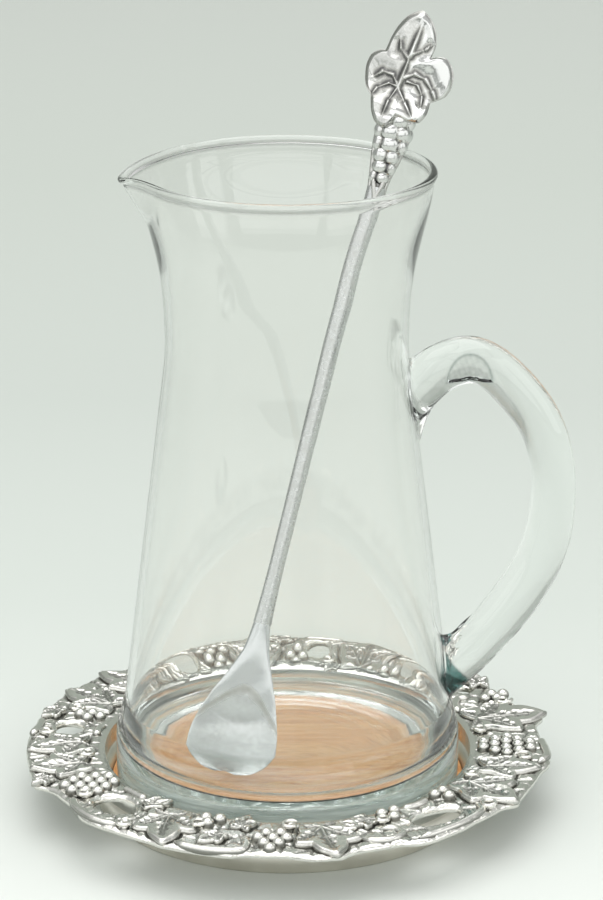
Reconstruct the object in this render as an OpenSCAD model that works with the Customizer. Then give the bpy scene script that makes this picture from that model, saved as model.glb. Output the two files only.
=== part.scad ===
// Cocktail pitcher: a blown glass jug with a pulled spout and an applied solid glass handle. It stands on a
// wood disc in a cast aluminium coaster with a grape and leaf rim, and a cast stirrer leans in its mouth.
// The origin is the centre of the coaster's foot. +Z is up, +X points to the handle and -X to the spout.

/* [Glass body] */
// Height of the glass from its foot to the middle of the rim bead
body_h = 238; // [220:1:270]
// Radius of the glass round its foot band
foot_r = 66; // [60:0.5:67]
// Rounding under the edge of the foot
foot_round = 2; // [1:0.5:4]
// Height of the upright foot band
foot_band_h = 15; // [10:1:20]
// Height at which the foot band has eased into the straight taper
flare_h = 34; // [26:1:48]
// How far the foot band stands out past the taper at that height
foot_flare = 3.8; // [2:0.2:6]
// Height of the crease at the waist
waist_h = 170; // [150:1:180]
// Radius at the waist
waist_r = 45.2; // [40:0.5:50]
// Radius of the rim, to the middle of its bead
rim_r = 53.6; // [50:0.5:60]
// Thickness of the fire polished bead
bead_t = 3.2; // [2.8:0.1:4]
// Thickness of the blown wall
wall_t = 2.6; // [2:0.1:3]
// Thickness of the solid base
base_t = 12; // [8:0.5:16]
// Rounding between the base and the wall inside
floor_round = 7; // [4:0.5:10]

/* [Spout] */
// How far the spout is pulled out past the rim
spout_reach = 9; // [5:0.5:14]
// Height of the neck that is drawn out with it
spout_h = 22; // [16:1:30]
// How far the lip dips at its tip
spout_drop = 4.7; // [0:0.1:8]

/* [Handle] */
// Reach of the handle from the axis to the middle of the glass
handle_reach = 100.3; // [90:0.5:115]
// How far the top of the handle lies below the crease at the waist, to the middle of the glass
handle_drop = 3; // [0:1:12]
// Height of the lower weld above the foot, to the middle of the glass
handle_low_h = 48; // [40:1:70]
// Thickness of the handle
handle_t = 16.6; // [12:0.2:20]
// Height of the upper weld on the body
weld_tall = 34; // [24:1:40]

/* [Coaster] */
// Play between the foot of the glass and the opening in the rim
opening_play = 4.5; // [4:0.5:6]
// Thickness of the dish wall at the rim
dish_wall_t = 5; // [4:0.5:6.5]
// How far the dish wall leans in from the rim down to its foot
dish_lean = 2.5; // [1:0.5:4]
// Height at which the rim is joined to the dish
seat_h = 12; // [10:0.5:13]
// Height of the rounded lip round the opening
lip_h = 15.6; // [14.5:0.1:17]
// Thickness of the dish floor
dish_floor_t = 3; // [2:0.5:4]
// Thickness of the wood disc
wood_t = 5; // [3:0.5:6]
// Play round the wood disc
wood_play = 0.25; // [0.1:0.05:0.5]

/* [Rim] */
// Mean width of the scalloped rim, from the opening to its edge
rim_w = 29.5; // [26:0.5:34]
// Height of the rim's upper face at its edge
rim_out_h = 20.6; // [18:0.2:24]
// Thickness of the rim
rim_t = 3; // [2:0.2:4]
// Diameter of one grape on the rim
grape_d = 5; // [4:0.1:5.4]
// Thickness of a leaf on the rim, at its crown
leaf_t = 3.2; // [2:0.1:4]
// Width of a vine on the rim
vine_w = 3.4; // [2.4:0.1:4]

/* [Stirrer] */
// How far below the level of the rim the grapes begin, along the stirrer
bunch_sink = 14.6; // [12:0.2:18]
// Thickness of the stem at its thinnest, above the paddle
stem_thin_d = 4.9; // [4:0.1:5.5]
// Thickness of the stem under the grapes
stem_top_d = 7; // [6:0.1:8]
// Width of the paddle
paddle_w = 33; // [26:0.5:36]
// Length of the paddle up to the stem
paddle_h = 60; // [50:1:70]
// Thickness of the paddle's plate
paddle_t = 2.2; // [1.6:0.1:3]
// Depth of the dish in the paddle
paddle_dish = 2.4; // [0:0.1:4]
// Height of the bunch of grapes
bunch_h = 29; // [22:0.5:32]
// Diameter of one grape on the stirrer
berry_d = 5; // [4:0.1:5.6]
// Length of the leaf from its middle to its tip
finial_leaf_h = 28.4; // [22:0.2:32]
// Turn of the paddle's face about the stem
stirrer_spin = -53; // [-60:1:-46]
// Direction in which the stirrer's foot stands on the glass floor
stirrer_foot_turn = 237.9; // [225:1:245]
// Direction in which its head leans on the rim
stirrer_head_turn = 39; // [35:1:45]

/* [Hidden] */
$fn = 96;

// Gap between sections of one casting or one glass
seam = 0.05;
// Gap between loose pieces that lean on each other
rest_gap = 0.35;
// Overrun of a cut past the face that it opens
over = 1;

// Height of the wood's upper face, on which the glass stands
wood_top = dish_floor_t + wood_t;
// Height of the floor inside the glass
glass_floor = wood_top + base_t;
// Radius of the taper at the top of the flare above the foot
flare_r = foot_r - foot_flare;
// Radii of the opening, of the dish wall under the rim and of the dish at its foot
opening_r = foot_r + opening_play;
dish_top_r = opening_r + dish_wall_t;
dish_foot_r = dish_top_r - dish_lean;
// Mean radius of the rim's edge
rim_out_r = opening_r + rim_w;
// Height of the top of the handle above the foot
handle_top_h = waist_h - handle_drop;

function lerp(a, b, t) = a + (b - a) * t;
function ease(t) = let(s = max(0, min(1, t))) s * s * (3 - 2 * s);
function polar(r, a) = [r * cos(a), r * sin(a)];

// Index of the row of a table in which a key falls
function row_of(key, table, i = 0) =
    i >= len(table) - 2 || key <= table[i + 1][0] ? i : row_of(key, table, i + 1);

// Value of a table at a key, eased between its rows
function eased(key, table) =
    let(i = row_of(key, table), a = table[i], b = table[i + 1])
    lerp(a[1], b[1], ease((key - a[0]) / (b[0] - a[0])));

// One point of a smooth curve through a list of points, t of the way from point i to the next
function curve_point(p, i, t) =
    let(a = p[max(i - 1, 0)], b = p[i], c = p[i + 1], d = p[min(i + 2, len(p) - 1)])
    (2 * b + (c - a) * t + (2 * a - 5 * b + 4 * c - d) * t * t + (3 * b - a - 3 * c + d) * t * t * t) / 2;

// A smooth curve through a list of points, n steps from each to the next
function curve(p, n) =
    [for (i = [0 : len(p) - 2], k = [0 : n - 1]) curve_point(p, i, k / n), p[len(p) - 1]];

// A closed skin over a stack of rings of points, each running anticlockwise seen from the far end
module skin(rings) {
    n = len(rings[0]);
    m = len(rings);
    points = [for (ring = rings, p = ring) p];
    sides = [
        for (i = [0 : m - 2], j = [0 : n - 1])
            let(a = i * n + j, b = i * n + (j + 1) % n, c = a + n, d = b + n)
            each [[a, c, d], [a, d, b]]
    ];
    first = [for (j = [0 : n - 1]) j];
    last = [for (j = [n - 1 : -1 : 0]) (m - 1) * n + j];
    polyhedron(points, concat(sides, [first, last]), convexity = 8);
}

// The glass body. Its outside runs up the foot band, eases into a straight taper, creases at the waist and
// flares in an S to the bead. The spout is drawn out of the rim circle along two tangents.

// Number of columns of faces beside the spout and round the rest of the body
spout_columns = 10;
back_columns = 16;
// Part of the half circle, in degrees, that holds the spout
spout_zone = 40;
// How gently the neck opens above the waist
neck_power = 1.6;
// How fast the spout's pull and its dip grow towards the tip
spout_power = 1.25;
dip_power = 1.6;
// Part of the angle between tip and tangent over which the spout's point is rounded
spout_nose_share = 0.14;

// Outer radius at a height above the foot, away from the spout
function taper_r(h) = lerp(flare_r, waist_r, (h - flare_h) / (waist_h - flare_h));
function body_r(h) =
    h < foot_band_h ? foot_r :
    h < flare_h ? lerp(foot_r, taper_r(h), ease((h - foot_band_h) / (flare_h - foot_band_h))) :
    h < waist_h ? taper_r(h) :
    lerp(waist_r, rim_r, ease(pow((h - waist_h) / (body_h - waist_h), neck_power)));

// Share of the spout's pull at a height
function spout_share(h) = pow(max(0, 1 - (body_h - h) / spout_h), spout_power);

// Radius of a tangent drawn from a circle of radius r to a point at radius tip, a degrees from that point
function tangent_r(r, tip, a) =
    let(touch = acos(r / tip), off = sqrt(pow(a, 2) + pow(spout_nose_share * touch, 2)))
    r / cos(max(0, touch - off));

// Radius at an angle from the spout's direction, with the spout drawn out
function drawn_r(r, h, a) = tangent_r(r, r + spout_reach * spout_share(h) + seam, a);

// Height of a point with the dip of the lip taken off
function dipped_h(h, a) =
    let(out = drawn_r(rim_r, body_h, a) - rim_r)
    h - spout_drop * pow(max(0, out / spout_reach), dip_power) * spout_share(h);

// Angles of the columns, anticlockwise from the side away from the spout
body_turns = [
    for (i = [0 : back_columns - 1]) -180 + i * (180 - spout_zone) / back_columns,
    for (i = [0 : 2 * spout_columns - 1]) -spout_zone + i * spout_zone / spout_columns,
    for (i = [0 : back_columns - 1]) spout_zone + i * (180 - spout_zone) / back_columns
];

// Rows of the skin: heights as shares of the stretch that they divide
flare_row_shares = [0, 0.3, 0.55, 0.8];
taper_row_shares = [0, 0.35, 0.7];
neck_row_shares = [0, 0.16, 0.32, 0.44, 0.55, 0.65, 0.73, 0.8, 0.86, 0.91, 0.955];
bead_row_turns = [-40, 0, 45, 90, 135, 180, 220];
round_row_turns = [0, 30, 60, 90];

// Profiles are lists of [radius, height above the foot]
outside_rows = [
    [foot_r - foot_round, 0],
    [foot_r - foot_round * (1 - sin(45)), foot_round * (1 - cos(45))],
    [foot_r, foot_round],
    for (s = flare_row_shares) let(h = lerp(foot_band_h, flare_h, s)) [body_r(h), h],
    for (s = taper_row_shares) let(h = lerp(flare_h, waist_h, s)) [body_r(h), h],
    for (s = neck_row_shares) let(h = lerp(waist_h, body_h, s)) [body_r(h), h]
];
bead_rows = [for (t = bead_row_turns) [rim_r + bead_t / 2 * cos(t), body_h + bead_t / 2 * sin(t)]];
inside_rows = [
    for (i = [len(neck_row_shares) - 1 : -1 : 0])
        let(h = lerp(waist_h, body_h, neck_row_shares[i])) [body_r(h) - wall_t, h],
    for (i = [len(taper_row_shares) - 1 : -1 : 0])
        let(h = lerp(base_t + floor_round, waist_h, taper_row_shares[i])) [taper_r(h) - wall_t, h],
    for (t = round_row_turns)
        if (t > 0)
            let(h = base_t + floor_round * (1 - sin(t)), r = taper_r(base_t + floor_round) - wall_t)
            [r - floor_round * (1 - cos(t)), h]
];
body_rows = concat(outside_rows, bead_rows, inside_rows);

module pitcher_body() {
    rings = [
        for (row = body_rows)
            [for (a = body_turns)
                let(p = polar(drawn_r(row[0], row[1], a), a + 180), h = dipped_h(row[1], a))
                [p[0], p[1], wood_top + h]]
    ];
    color([0.83, 0.9, 0.89, 0.35]) skin(rings);
}

// The space that the glass body takes up to its neck, a hair wider, which trims what is welded to it
module body_envelope() {
    rows = [for (row = outside_rows) if (row[1] < body_h - spout_h) row];
    outline = concat([for (row = rows) [row[0] + seam, wood_top + row[1]]],
                     [[0, wood_top + rows[len(rows) - 1][1]], [0, wood_top]]);
    rotate_extrude() polygon(outline);
}

// The handle: a cane of solid glass, laid on hot at the upper weld, drawn round and pressed on below.

// Sides of the cane and steps of the curve from each of its points to the next
cane_sides = 14;
cane_steps = 2;
// Middle of the cane: share of the reach and share of the height from the lower weld to the top
cane_path_shares = [
    [0.38, 0.905], [0.48, 0.945], [0.59, 0.987], [0.664, 1], [0.761, 0.975], [0.88, 0.882], [0.972, 0.721],
    [1, 0.59], [0.99, 0.496], [0.945, 0.365], [0.863, 0.227], [0.76, 0.108], [0.68, 0.05], [0.6, 0],
    [0.53, -0.05]
];
// Half width of the cane as a share of its thickness
cane_width_share = 0.53;
// Half height of the cane at each of those points, as a share of its thickness
cane_half_shares = [
    1.05, 0.86, 0.56, 0.51, 0.5, 0.48, 0.48, 0.49, 0.51, 0.52, 0.52, 0.52, 0.53, 0.6, 0.68
];
cane_path = [
    for (i = [0 : len(cane_path_shares) - 1])
        let(s = cane_path_shares[i])
        [s[0] * handle_reach, wood_top + lerp(handle_low_h, handle_top_h, s[1]),
         cane_half_shares[i] * (i < 2 ? weld_tall / 2 : handle_t)]
];

// One ring of the cane round a point of its curve, square to the curve
function cane_ring(path, i) =
    let(p = path[i], a = path[max(i - 1, 0)], b = path[min(i + 1, len(path) - 1)],
        along = [b[0] - a[0], b[1] - a[1]], unit = along / norm(along),
        half_w = min(p[2], handle_t * cane_width_share))
    [for (k = [0 : cane_sides - 1])
        let(t = 360 * k / cane_sides, up = p[2] * cos(t), side = half_w * sin(t))
        [p[0] - unit[1] * up, side, p[1] + unit[0] * up]];

module pitcher_handle() {
    path = curve(cane_path, cane_steps);
    color([0.8, 0.89, 0.87, 0.4])
    difference() {
        skin([for (i = [0 : len(path) - 1]) cane_ring(path, i)]);
        body_envelope();
    }
}

// The coaster's dish: a cast tray with a nearly upright wall.

// Rounding under the edge of the dish
dish_round = 1.5;
// Radius of the dish floor, which leaves play round the foot of the glass
glass_play = 2;
dish_floor_r = foot_r + glass_play;

module coaster_dish() {
    color([0.78, 0.78, 0.76])
    rotate_extrude() polygon([
        [0, 0], [dish_foot_r - dish_round, 0], [dish_foot_r, dish_round], [dish_top_r, seat_h],
        [opening_r, seat_h], [dish_floor_r, wood_top], [dish_floor_r, dish_floor_t], [0, dish_floor_t]
    ]);
}

// The wood disc: turned from flat stock, with eased edges.
wood_edge = 0.5;

module wood_insert() {
    r = dish_floor_r - wood_play;
    color([0.84, 0.62, 0.42])
    rotate_extrude() polygon([
        [0, dish_floor_t], [r - wood_edge, dish_floor_t], [r, dish_floor_t + wood_edge],
        [r, wood_top - wood_edge], [r - wood_edge, wood_top], [0, wood_top]
    ]);
}

// The coaster's rim: an openwork flange that rises outwards, with a scalloped edge.

// Rounding of the lip round the opening
lip_round = 1.2;
// Edge of the rim: direction, and reach from the opening as a share of its width
scallop_shares = [
    [0, 0.95], [5, 0.91], [14, 1.02], [23, 0.91], [28, 0.78], [36, 0.89], [47, 0.83], [67, 1.03],
    [81, 0.95], [92, 1.02], [104, 0.93], [112, 0.97], [121, 0.95], [131, 0.97], [138, 0.93],
    [149, 0.97], [162, 0.91], [178, 1.03], [190, 0.89], [200, 1.08], [213, 0.85], [223, 1.07],
    [240, 1], [258, 1.07], [264, 0.89], [277, 1.11], [291, 0.89], [300, 1.08], [309, 1.02],
    [319, 0.92], [328, 1.04], [341, 0.97], [349, 1.08], [360, 0.95]
];
// Holes: direction, place across the rim, and size along and across it, as shares of its width
hole_shares = [
    [36, 0.58, 0.22, 0.24], [50.6, 0.55, 0.5, 0.48], [81.5, 0.62, 0.36, 0.36], [121, 0.56, 0.5, 0.44],
    [170.4, 0.54, 0.38, 0.44], [221.3, 0.5, 0.48, 0.6], [308.5, 0.54, 0.42, 0.72]
];
hole_points = 14;
edge_step = 3;

// Height of the rim's upper face at a radius
function rim_h(r) = lerp(lip_h, rim_out_h, (r - opening_r) / rim_w);
// Radius at a share of the rim's width
function rim_at(share) = opening_r + share * rim_w;
// A point on the rim's upper face, given in the plan
function on_rim(p, up) = [p[0], p[1], rim_h(norm(p)) + up];
// Turn about the axis that matches a step of the rim's whole width
width_turn = 20;
// The plan of a step outwards and sideways from a place on the rim, both as shares of its width
function rim_step(turn, place, out, side) = polar(rim_at(place + out), turn + side * width_turn);

module hole_outline(h) {
    polygon([
        for (k = [0 : hole_points - 1])
            let(t = 360 * k / hole_points, egg = 1 + sin(t) / 6)
            rim_step(h[0], h[1], h[2] / 2 * cos(t), h[3] / 2 * egg * sin(t))
    ]);
}

module rim_outline() {
    difference() {
        polygon([for (a = [0 : edge_step : 360 - edge_step]) polar(rim_at(eased(a, scallop_shares)), a)]);
        circle(r = opening_r);
        for (h = hole_shares) hole_outline(h);
    }
}

module rim_section() {
    far = rim_out_r + rim_w / 4;
    polygon([
        [opening_r - over, seat_h], [dish_top_r, seat_h], [far, rim_h(far) - rim_t], [far, rim_h(far)],
        [opening_r + lip_round, rim_h(opening_r + lip_round)], [opening_r - over, lip_h - lip_round]
    ]);
}

module coaster_rim() {
    color([0.8, 0.8, 0.79])
    intersection() {
        rotate_extrude() rim_section();
        linear_extrude(2 * rim_out_h) rim_outline();
    }
}

// Leaves: five lobes round a middle, crowned, with a raised vein to each lobe.

// Edge of a leaf: angle from its tip, and reach as a share of the length from its middle to the tip
leaf_edge_shares = [
    [0, 1], [12, 0.92], [23, 0.75], [31, 0.63], [38, 0.52], [47, 0.62], [60, 0.66], [76, 0.62], [92, 0.58],
    [105, 0.52], [117, 0.46], [132, 0.58], [147, 0.66], [160, 0.57], [172, 0.44], [180, 0.4]
];
// Directions of the veins, on one side of the leaf
vein_turns = [0, 60, 147];
// Rings of a leaf from its edge to its middle, as shares of the reach
leaf_ring_shares = [1, 0.72, 0.4, 0.12];
// Thickness of a leaf at its edge, and height of its veins, as shares of that at its crown
leaf_edge_share = 0.45;
vein_share = 0.35;
vein_half_turn = 16;

// The whole edge and all the veins of a leaf with two like sides
both_sides_edge = concat(
    leaf_edge_shares,
    [for (i = [len(leaf_edge_shares) - 2 : -1 : 1]) [360 - leaf_edge_shares[i][0], leaf_edge_shares[i][1]]]
);
both_sides_veins = concat(vein_turns, [for (v = vein_turns) 360 - v]);

function vein_height(a, veins) = max([for (v = veins) ease(1 - abs(a - v) / vein_half_turn)]);
// Thickness of a leaf at a share of the reach, as a share of that at its crown
function leaf_rise(share, a, veins) =
    lerp(leaf_edge_share, 1 - vein_share, 1 - share * share)
    + vein_share * vein_height(a, veins) * (1 - share);

// Rings of a leaf in its own plane, as [across, along, height], from its underside to its crown
function leaf_rings(l, t, edge, veins) = concat(
    [[for (e = edge) [l * e[1] * sin(-e[0]), l * e[1] * cos(e[0]), 0]]],
    [for (s = leaf_ring_shares)
        [for (e = edge)
            [l * s * e[1] * sin(-e[0]), l * s * e[1] * cos(e[0]), t * leaf_rise(s, e[0], veins)]]]
);

// Leaves on the rim: direction, place across the rim, length as a share of its width, and heading
rim_leaf_shares = [
    [15.5, 0.46, 0.7, -4], [37, 0.85, 0.25, 60], [41, 0.18, 0.24, -40], [67, 0.46, 0.66, 4],
    [75.5, 0.14, 0.23, 160], [92, 0.86, 0.26, 20], [100, 0.42, 0.59, -8], [136.4, 0.46, 0.59, 12],
    [126.4, 0.14, 0.22, 40], [152.5, 0.46, 0.59, -8], [163, 0.87, 0.22, 60], [182.4, 0.46, 0.54, 10],
    [195.4, 0.52, 0.5, -2], [201.5, 0.94, 0.2, 20], [229.4, 0.17, 0.26, 140], [239.2, 0.5, 0.58, 22],
    [253, 0.64, 0.25, -30], [258, 0.2, 0.27, 170], [279.3, 0.5, 0.63, 4], [291.4, 0.24, 0.27, -70],
    [329.4, 0.46, 0.62, -14], [343.2, 0.46, 0.51, 10]
];

module rim_leaves() {
    color([0.86, 0.86, 0.85])
    for (leaf = rim_leaf_shares)
        skin([
            for (ring = leaf_rings(leaf[2], leaf_t, both_sides_edge, both_sides_veins))
                [for (p = ring)
                    let(out = p[0] * sin(leaf[3]) + p[1] * cos(leaf[3]),
                        side = p[1] * sin(leaf[3]) - p[0] * cos(leaf[3]))
                    on_rim(rim_step(leaf[0], leaf[1], out, side), seam + p[2])]
        ]);
}

// Grapes on the rim: bunches of round berries in staggered rows, widest in the middle.

// Bunches: direction, place of the first row across the rim, and grapes in each row going outwards
bunches = [
    [357, 0.18, [2, 3, 4, 3, 2]], [266.6, 0.42, [2, 3, 2, 1]], [208.5, 0.16, [2, 3, 4, 3, 2]],
    [112, 0.26, [1, 2, 3, 2]], [87.5, 0.26, [1, 2, 1]], [320, 0.12, [2, 1]], [300, 0.14, [2, 1]],
    [27.5, 0.6, [1, 2, 1]], [162.8, 0.22, [1, 2, 1]], [249, 0.16, [2, 1]], [56.6, 0.12, [1, 2]]
];
// Share of a grape's radius by which its middle stands above the rim
grape_stand_share = 0.3;
row_pitch = (grape_d + seam) * sin(60);

// Slope of the rim's upper face
rim_slope = atan2(rim_out_h - lip_h, rim_w);
ball_sides = 32;

// A grape: a ball cut flat where it sits on the rim
module rim_grape() {
    difference() {
        translate([0, 0, grape_d / 2 * grape_stand_share]) sphere(d = grape_d, $fn = ball_sides);
        translate([-grape_d, -grape_d, -2 * grape_d]) cube(2 * grape_d);
    }
}

module rim_grapes() {
    color([0.88, 0.88, 0.87])
    for (b = bunches, i = [0 : len(b[2]) - 1], k = [0 : b[2][i] - 1]) {
        middle = polar(rim_at(b[1]) + i * row_pitch, b[0]);
        side = (k - (b[2][i] - 1) / 2) * (grape_d + seam);
        p = middle + polar(side, b[0] + 90);
        translate(on_rim(p, seam)) rotate([0, -rim_slope, atan2(p[1], p[0])]) rim_grape();
    }
}

// Vines: half round strands that run round the outer edge and curl between the leaves.

// Each vine is a list of places: direction, and place across the rim as a share of its width
vine_shares = [
    [[213, 0.82], [217, 0.92], [223, 0.98], [228, 0.96], [231, 0.9]],
    [[215, 0.12], [220, 0.11], [225, 0.12]],
    [[245.5, 0.92], [249, 0.99], [254, 1.01], [260, 0.94], [261, 0.74], [259, 0.56]],
    [[287.5, 0.7], [290, 0.8], [293.5, 0.84], [297, 0.74], [296.5, 0.56], [293.5, 0.5]],
    [[299, 0.96], [306, 0.93], [313, 0.9], [319, 0.84], [321.5, 0.62]],
    [[305, 0.13], [310, 0.15], [314.5, 0.13]],
    [[23.5, 0.1], [28, 0.16], [31.5, 0.3], [30.5, 0.46]],
    [[42, 0.88], [49, 0.88], [56, 0.92]],
    [[76, 0.92], [81, 0.93], [86, 0.94]],
    [[115, 0.92], [121, 0.93], [127, 0.94]],
    [[168, 0.94], [172, 0.93], [176.5, 0.98]],
    [[167.5, 0.1], [171, 0.14], [175, 0.14]],
    [[348, 0.92], [352, 1], [357, 0.96], [361, 0.92]]
];
vine_steps = 2;
vine_arc_turns = [180, 120, 60, 0];
// Height of a vine as a share of its width
vine_height_share = 0.6;

function vine_ring(path, i) =
    let(p = path[i], a = path[max(i - 1, 0)], b = path[min(i + 1, len(path) - 1)],
        along = (b - a) / norm(b - a), end = i == 0 || i == len(path) - 1 ? 1 / 2 : 1)
    [for (t = vine_arc_turns)
        let(q = p + [along[1], -along[0]] * vine_w / 2 * end * cos(t))
        on_rim(q, seam + vine_w * vine_height_share * end * sin(t))];

module rim_vines() {
    color([0.84, 0.84, 0.83])
    for (vine = vine_shares) {
        path = curve([for (v = vine) polar(rim_at(v[1]), v[0])], vine_steps);
        skin([for (i = [0 : len(path) - 1]) vine_ring(path, i)]);
    }
}

// The stirrer stands on the glass floor and leans on the bead. It is cast as paddle, stem, grapes and leaf.
// Its pieces are drawn upright, with the paddle's face towards -Y, and then leant over.

// Distance of the stirrer's foot from the axis, and of its axis at the rim
// Both stand in from the glass, by shares of the paddle's width and of a grape's diameter.
foot_inset_share = 0.3;
head_inset_share = 1.36;
stirrer_foot_r = taper_r(base_t + floor_round) - wall_t - floor_round - paddle_w * foot_inset_share;
stirrer_head_r = rim_r - bead_t / 2 - rest_gap - berry_d * head_inset_share;

foot_xy = polar(stirrer_foot_r, stirrer_foot_turn);
head_xy = polar(stirrer_head_r, stirrer_head_turn);
lean_run = head_xy - foot_xy;
lean_rise = body_h - base_t;
lean_turn = atan2(lean_run[1], lean_run[0]);
lean_tilt = atan2(norm(lean_run), lean_rise);
// Length of the stirrer from its end to the grapes
stem_h = norm([norm(lean_run), lean_rise]) - bunch_sink;

// Paddle: height as a share of its height, half width as a share of its width, and half thickness as a
// share of its plate's thickness
paddle_shares = [
    [0, 0.34, 0.3], [0.03, 0.42, 0.46], [0.09, 0.475, 0.5], [0.2, 0.5, 0.5], [0.33, 0.47, 0.5],
    [0.46, 0.39, 0.52], [0.58, 0.3, 0.58], [0.7, 0.21, 0.7], [0.81, 0.14, 0.88], [0.91, 0.095, 1.02]
];
paddle_sides = 20;

// One ring of the paddle: a lens across the stem, bowed back in its middle by the dish
function paddle_ring(s) =
    [for (k = [0 : paddle_sides - 1])
        let(t = 360 * k / paddle_sides, across = cos(t),
            bow = paddle_dish * ease(2 * (1 - s[0])) * (1 / 2 - across * across))
        [s[1] * paddle_w * across, s[2] * paddle_t * sin(t) + bow, s[0] * paddle_h]];

// How far the lowest corner of the leant paddle hangs below the middle of its end
end_drop = max([
    for (p = paddle_ring(paddle_shares[0]))
        sin(lean_tilt) * (p[0] * cos(stirrer_spin) - p[1] * sin(stirrer_spin))
]);

module leant() {
    translate([foot_xy[0], foot_xy[1], glass_floor + rest_gap + end_drop])
        rotate([0, lean_tilt, lean_turn]) rotate(stirrer_spin) children();
}

// Sideways shift of the head on the stem
head_shift = 2.3;
// Share of the stem's height above which it bends to that shift
bend_share = 0.62;

module stirrer_paddle() {
    rings = [
        for (s = paddle_shares) paddle_ring(s),
        [for (k = [0 : paddle_sides - 1])
            let(p = polar(stem_thin_d / 2, 360 * k / paddle_sides)) [p[0], p[1], paddle_h]]
    ];
    color([0.76, 0.77, 0.78]) leant() skin(rings);
}

// Stem: it thickens steadily from the paddle to the grapes
stem_rows = 12;
stem_sides = 14;

module stirrer_stem() {
    rings = [
        for (i = [0 : stem_rows])
            let(s = i / stem_rows, h = lerp(paddle_h + seam, stem_h - seam, s),
                r = lerp(stem_thin_d, stem_top_d, s) / 2,
                shift = head_shift * ease((s - bend_share) / (1 - bend_share)))
            [for (k = [0 : stem_sides - 1])
                let(t = 360 * k / stem_sides) [shift + r * cos(t), r * sin(t), h]]
    ];
    color([0.76, 0.77, 0.78]) leant() skin(rings);
}

// Core of the bunch: height as a share of the bunch's height, and radius as a share of a grape's diameter
core_shares = [
    [0, 0.68], [0.13, 0.44], [0.28, 0.4], [0.45, 0.48], [0.62, 0.6], [0.79, 0.66], [0.93, 0.52], [1, 0.64]
];
// Rings of grapes on the core: height as a share of the bunch's height, count, and size of a grape
berry_ring_shares = [
    [0.13, 7, 0.52], [0.28, 6, 0.68], [0.45, 6, 0.78], [0.62, 6, 0.86], [0.79, 7, 0.82], [0.93, 6, 0.7]
];
// Depth of the core from front to back, as a share of its width
core_deep_share = 0.78;
// Turn of each ring of grapes against the one below, as a share of the spacing in the ring
bunch_turn_share = 0.5;

function core_r(share) = berry_d * lookup(share, core_shares);

module stirrer_grapes() {
    core = [
        for (c = core_shares)
            [for (k = [0 : stem_sides - 1])
                let(p = polar(core_r(c[0]), 360 * k / stem_sides))
                [p[0], p[1] * core_deep_share, c[0] * bunch_h]]
    ];
    color([0.8, 0.8, 0.8]) leant() translate([head_shift, 0, stem_h]) {
        skin(core);
        for (i = [0 : len(berry_ring_shares) - 1], k = [0 : berry_ring_shares[i][1] - 1]) {
            ring = berry_ring_shares[i];
            turn = 360 * (k + i * bunch_turn_share) / ring[1];
            stand = ring[2] * berry_d / 2 + seam;
            p = [core_r(ring[0]) * cos(turn), core_r(ring[0]) * core_deep_share * sin(turn)];
            q = p + polar(stand, turn);
            translate([q[0], q[1], ring[0] * bunch_h]) sphere(d = ring[2] * berry_d, $fn = ball_sides);
        }
    }
}

// Leaf at the head: a long middle lobe and four full, rounded ones, standing up, with a plain back
finial_leaf_t = 3.4;
// Its edge, from its tip round by the spout's side, and the directions of its veins
finial_edge_shares = [
    [0, 1], [11, 0.91], [19, 0.79], [27, 0.67], [36, 0.56], [42, 0.51], [50, 0.55], [63, 0.58], [76, 0.56],
    [93, 0.52], [108, 0.48], [124, 0.42], [136, 0.45], [148, 0.5], [162, 0.54], [180, 0.5], [199, 0.45],
    [213, 0.48], [226, 0.54], [238, 0.52], [252, 0.46], [258, 0.44], [266, 0.51], [274, 0.58], [284, 0.63],
    [297, 0.66], [308, 0.68], [318, 0.67], [325, 0.61], [329, 0.53], [334, 0.69], [342, 0.83], [350, 0.94]
];
finial_vein_turns = [0, 72, 150, 226, 296, 360];
// Height of the leaf's middle above the top of the grapes, as a share of its length
finial_middle_share = 0.42;
finial_tilt = 6;

module stirrer_leaf() {
    color([0.8, 0.8, 0.8]) leant()
    intersection() {
        translate([head_shift, finial_leaf_t / 2, stem_h + bunch_h + finial_middle_share * finial_leaf_h])
            rotate([90, 0, 0]) rotate(-finial_tilt)
                skin(leaf_rings(finial_leaf_h, finial_leaf_t, finial_edge_shares, finial_vein_turns));
        translate([-paddle_w, -paddle_w, stem_h + bunch_h + seam])
            cube([2 * paddle_w, 2 * paddle_w, 4 * bunch_h]);
    }
}

coaster_dish();
wood_insert();
coaster_rim();
rim_leaves();
rim_grapes();
rim_vines();
pitcher_body();
pitcher_handle();
stirrer_paddle();
stirrer_stem();
stirrer_grapes();
stirrer_leaf();
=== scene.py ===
import math

import bpy
import numpy as np
from mathutils import Matrix, Vector
from mathutils.geometry import delaunay_2d_cdt
from mathutils.kdtree import KDTree


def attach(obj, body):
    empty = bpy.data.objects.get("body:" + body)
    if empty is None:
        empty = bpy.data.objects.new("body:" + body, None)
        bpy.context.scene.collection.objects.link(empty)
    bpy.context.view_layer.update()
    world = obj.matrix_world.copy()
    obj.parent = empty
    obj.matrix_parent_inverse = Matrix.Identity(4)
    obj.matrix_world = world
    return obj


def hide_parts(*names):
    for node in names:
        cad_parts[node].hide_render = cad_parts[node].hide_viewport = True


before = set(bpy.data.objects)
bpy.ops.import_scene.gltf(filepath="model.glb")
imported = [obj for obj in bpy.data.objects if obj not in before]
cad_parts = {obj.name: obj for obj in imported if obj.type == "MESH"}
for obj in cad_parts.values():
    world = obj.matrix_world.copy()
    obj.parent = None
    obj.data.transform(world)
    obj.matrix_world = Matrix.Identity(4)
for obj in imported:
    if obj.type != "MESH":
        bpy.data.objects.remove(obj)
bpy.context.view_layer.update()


# Coaster dish
# The tray that the glass stands in: one sand casting in aluminium, turned on a lathe outside and inside
# and left satin, so that fine lathe lines run round its wall.

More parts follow.
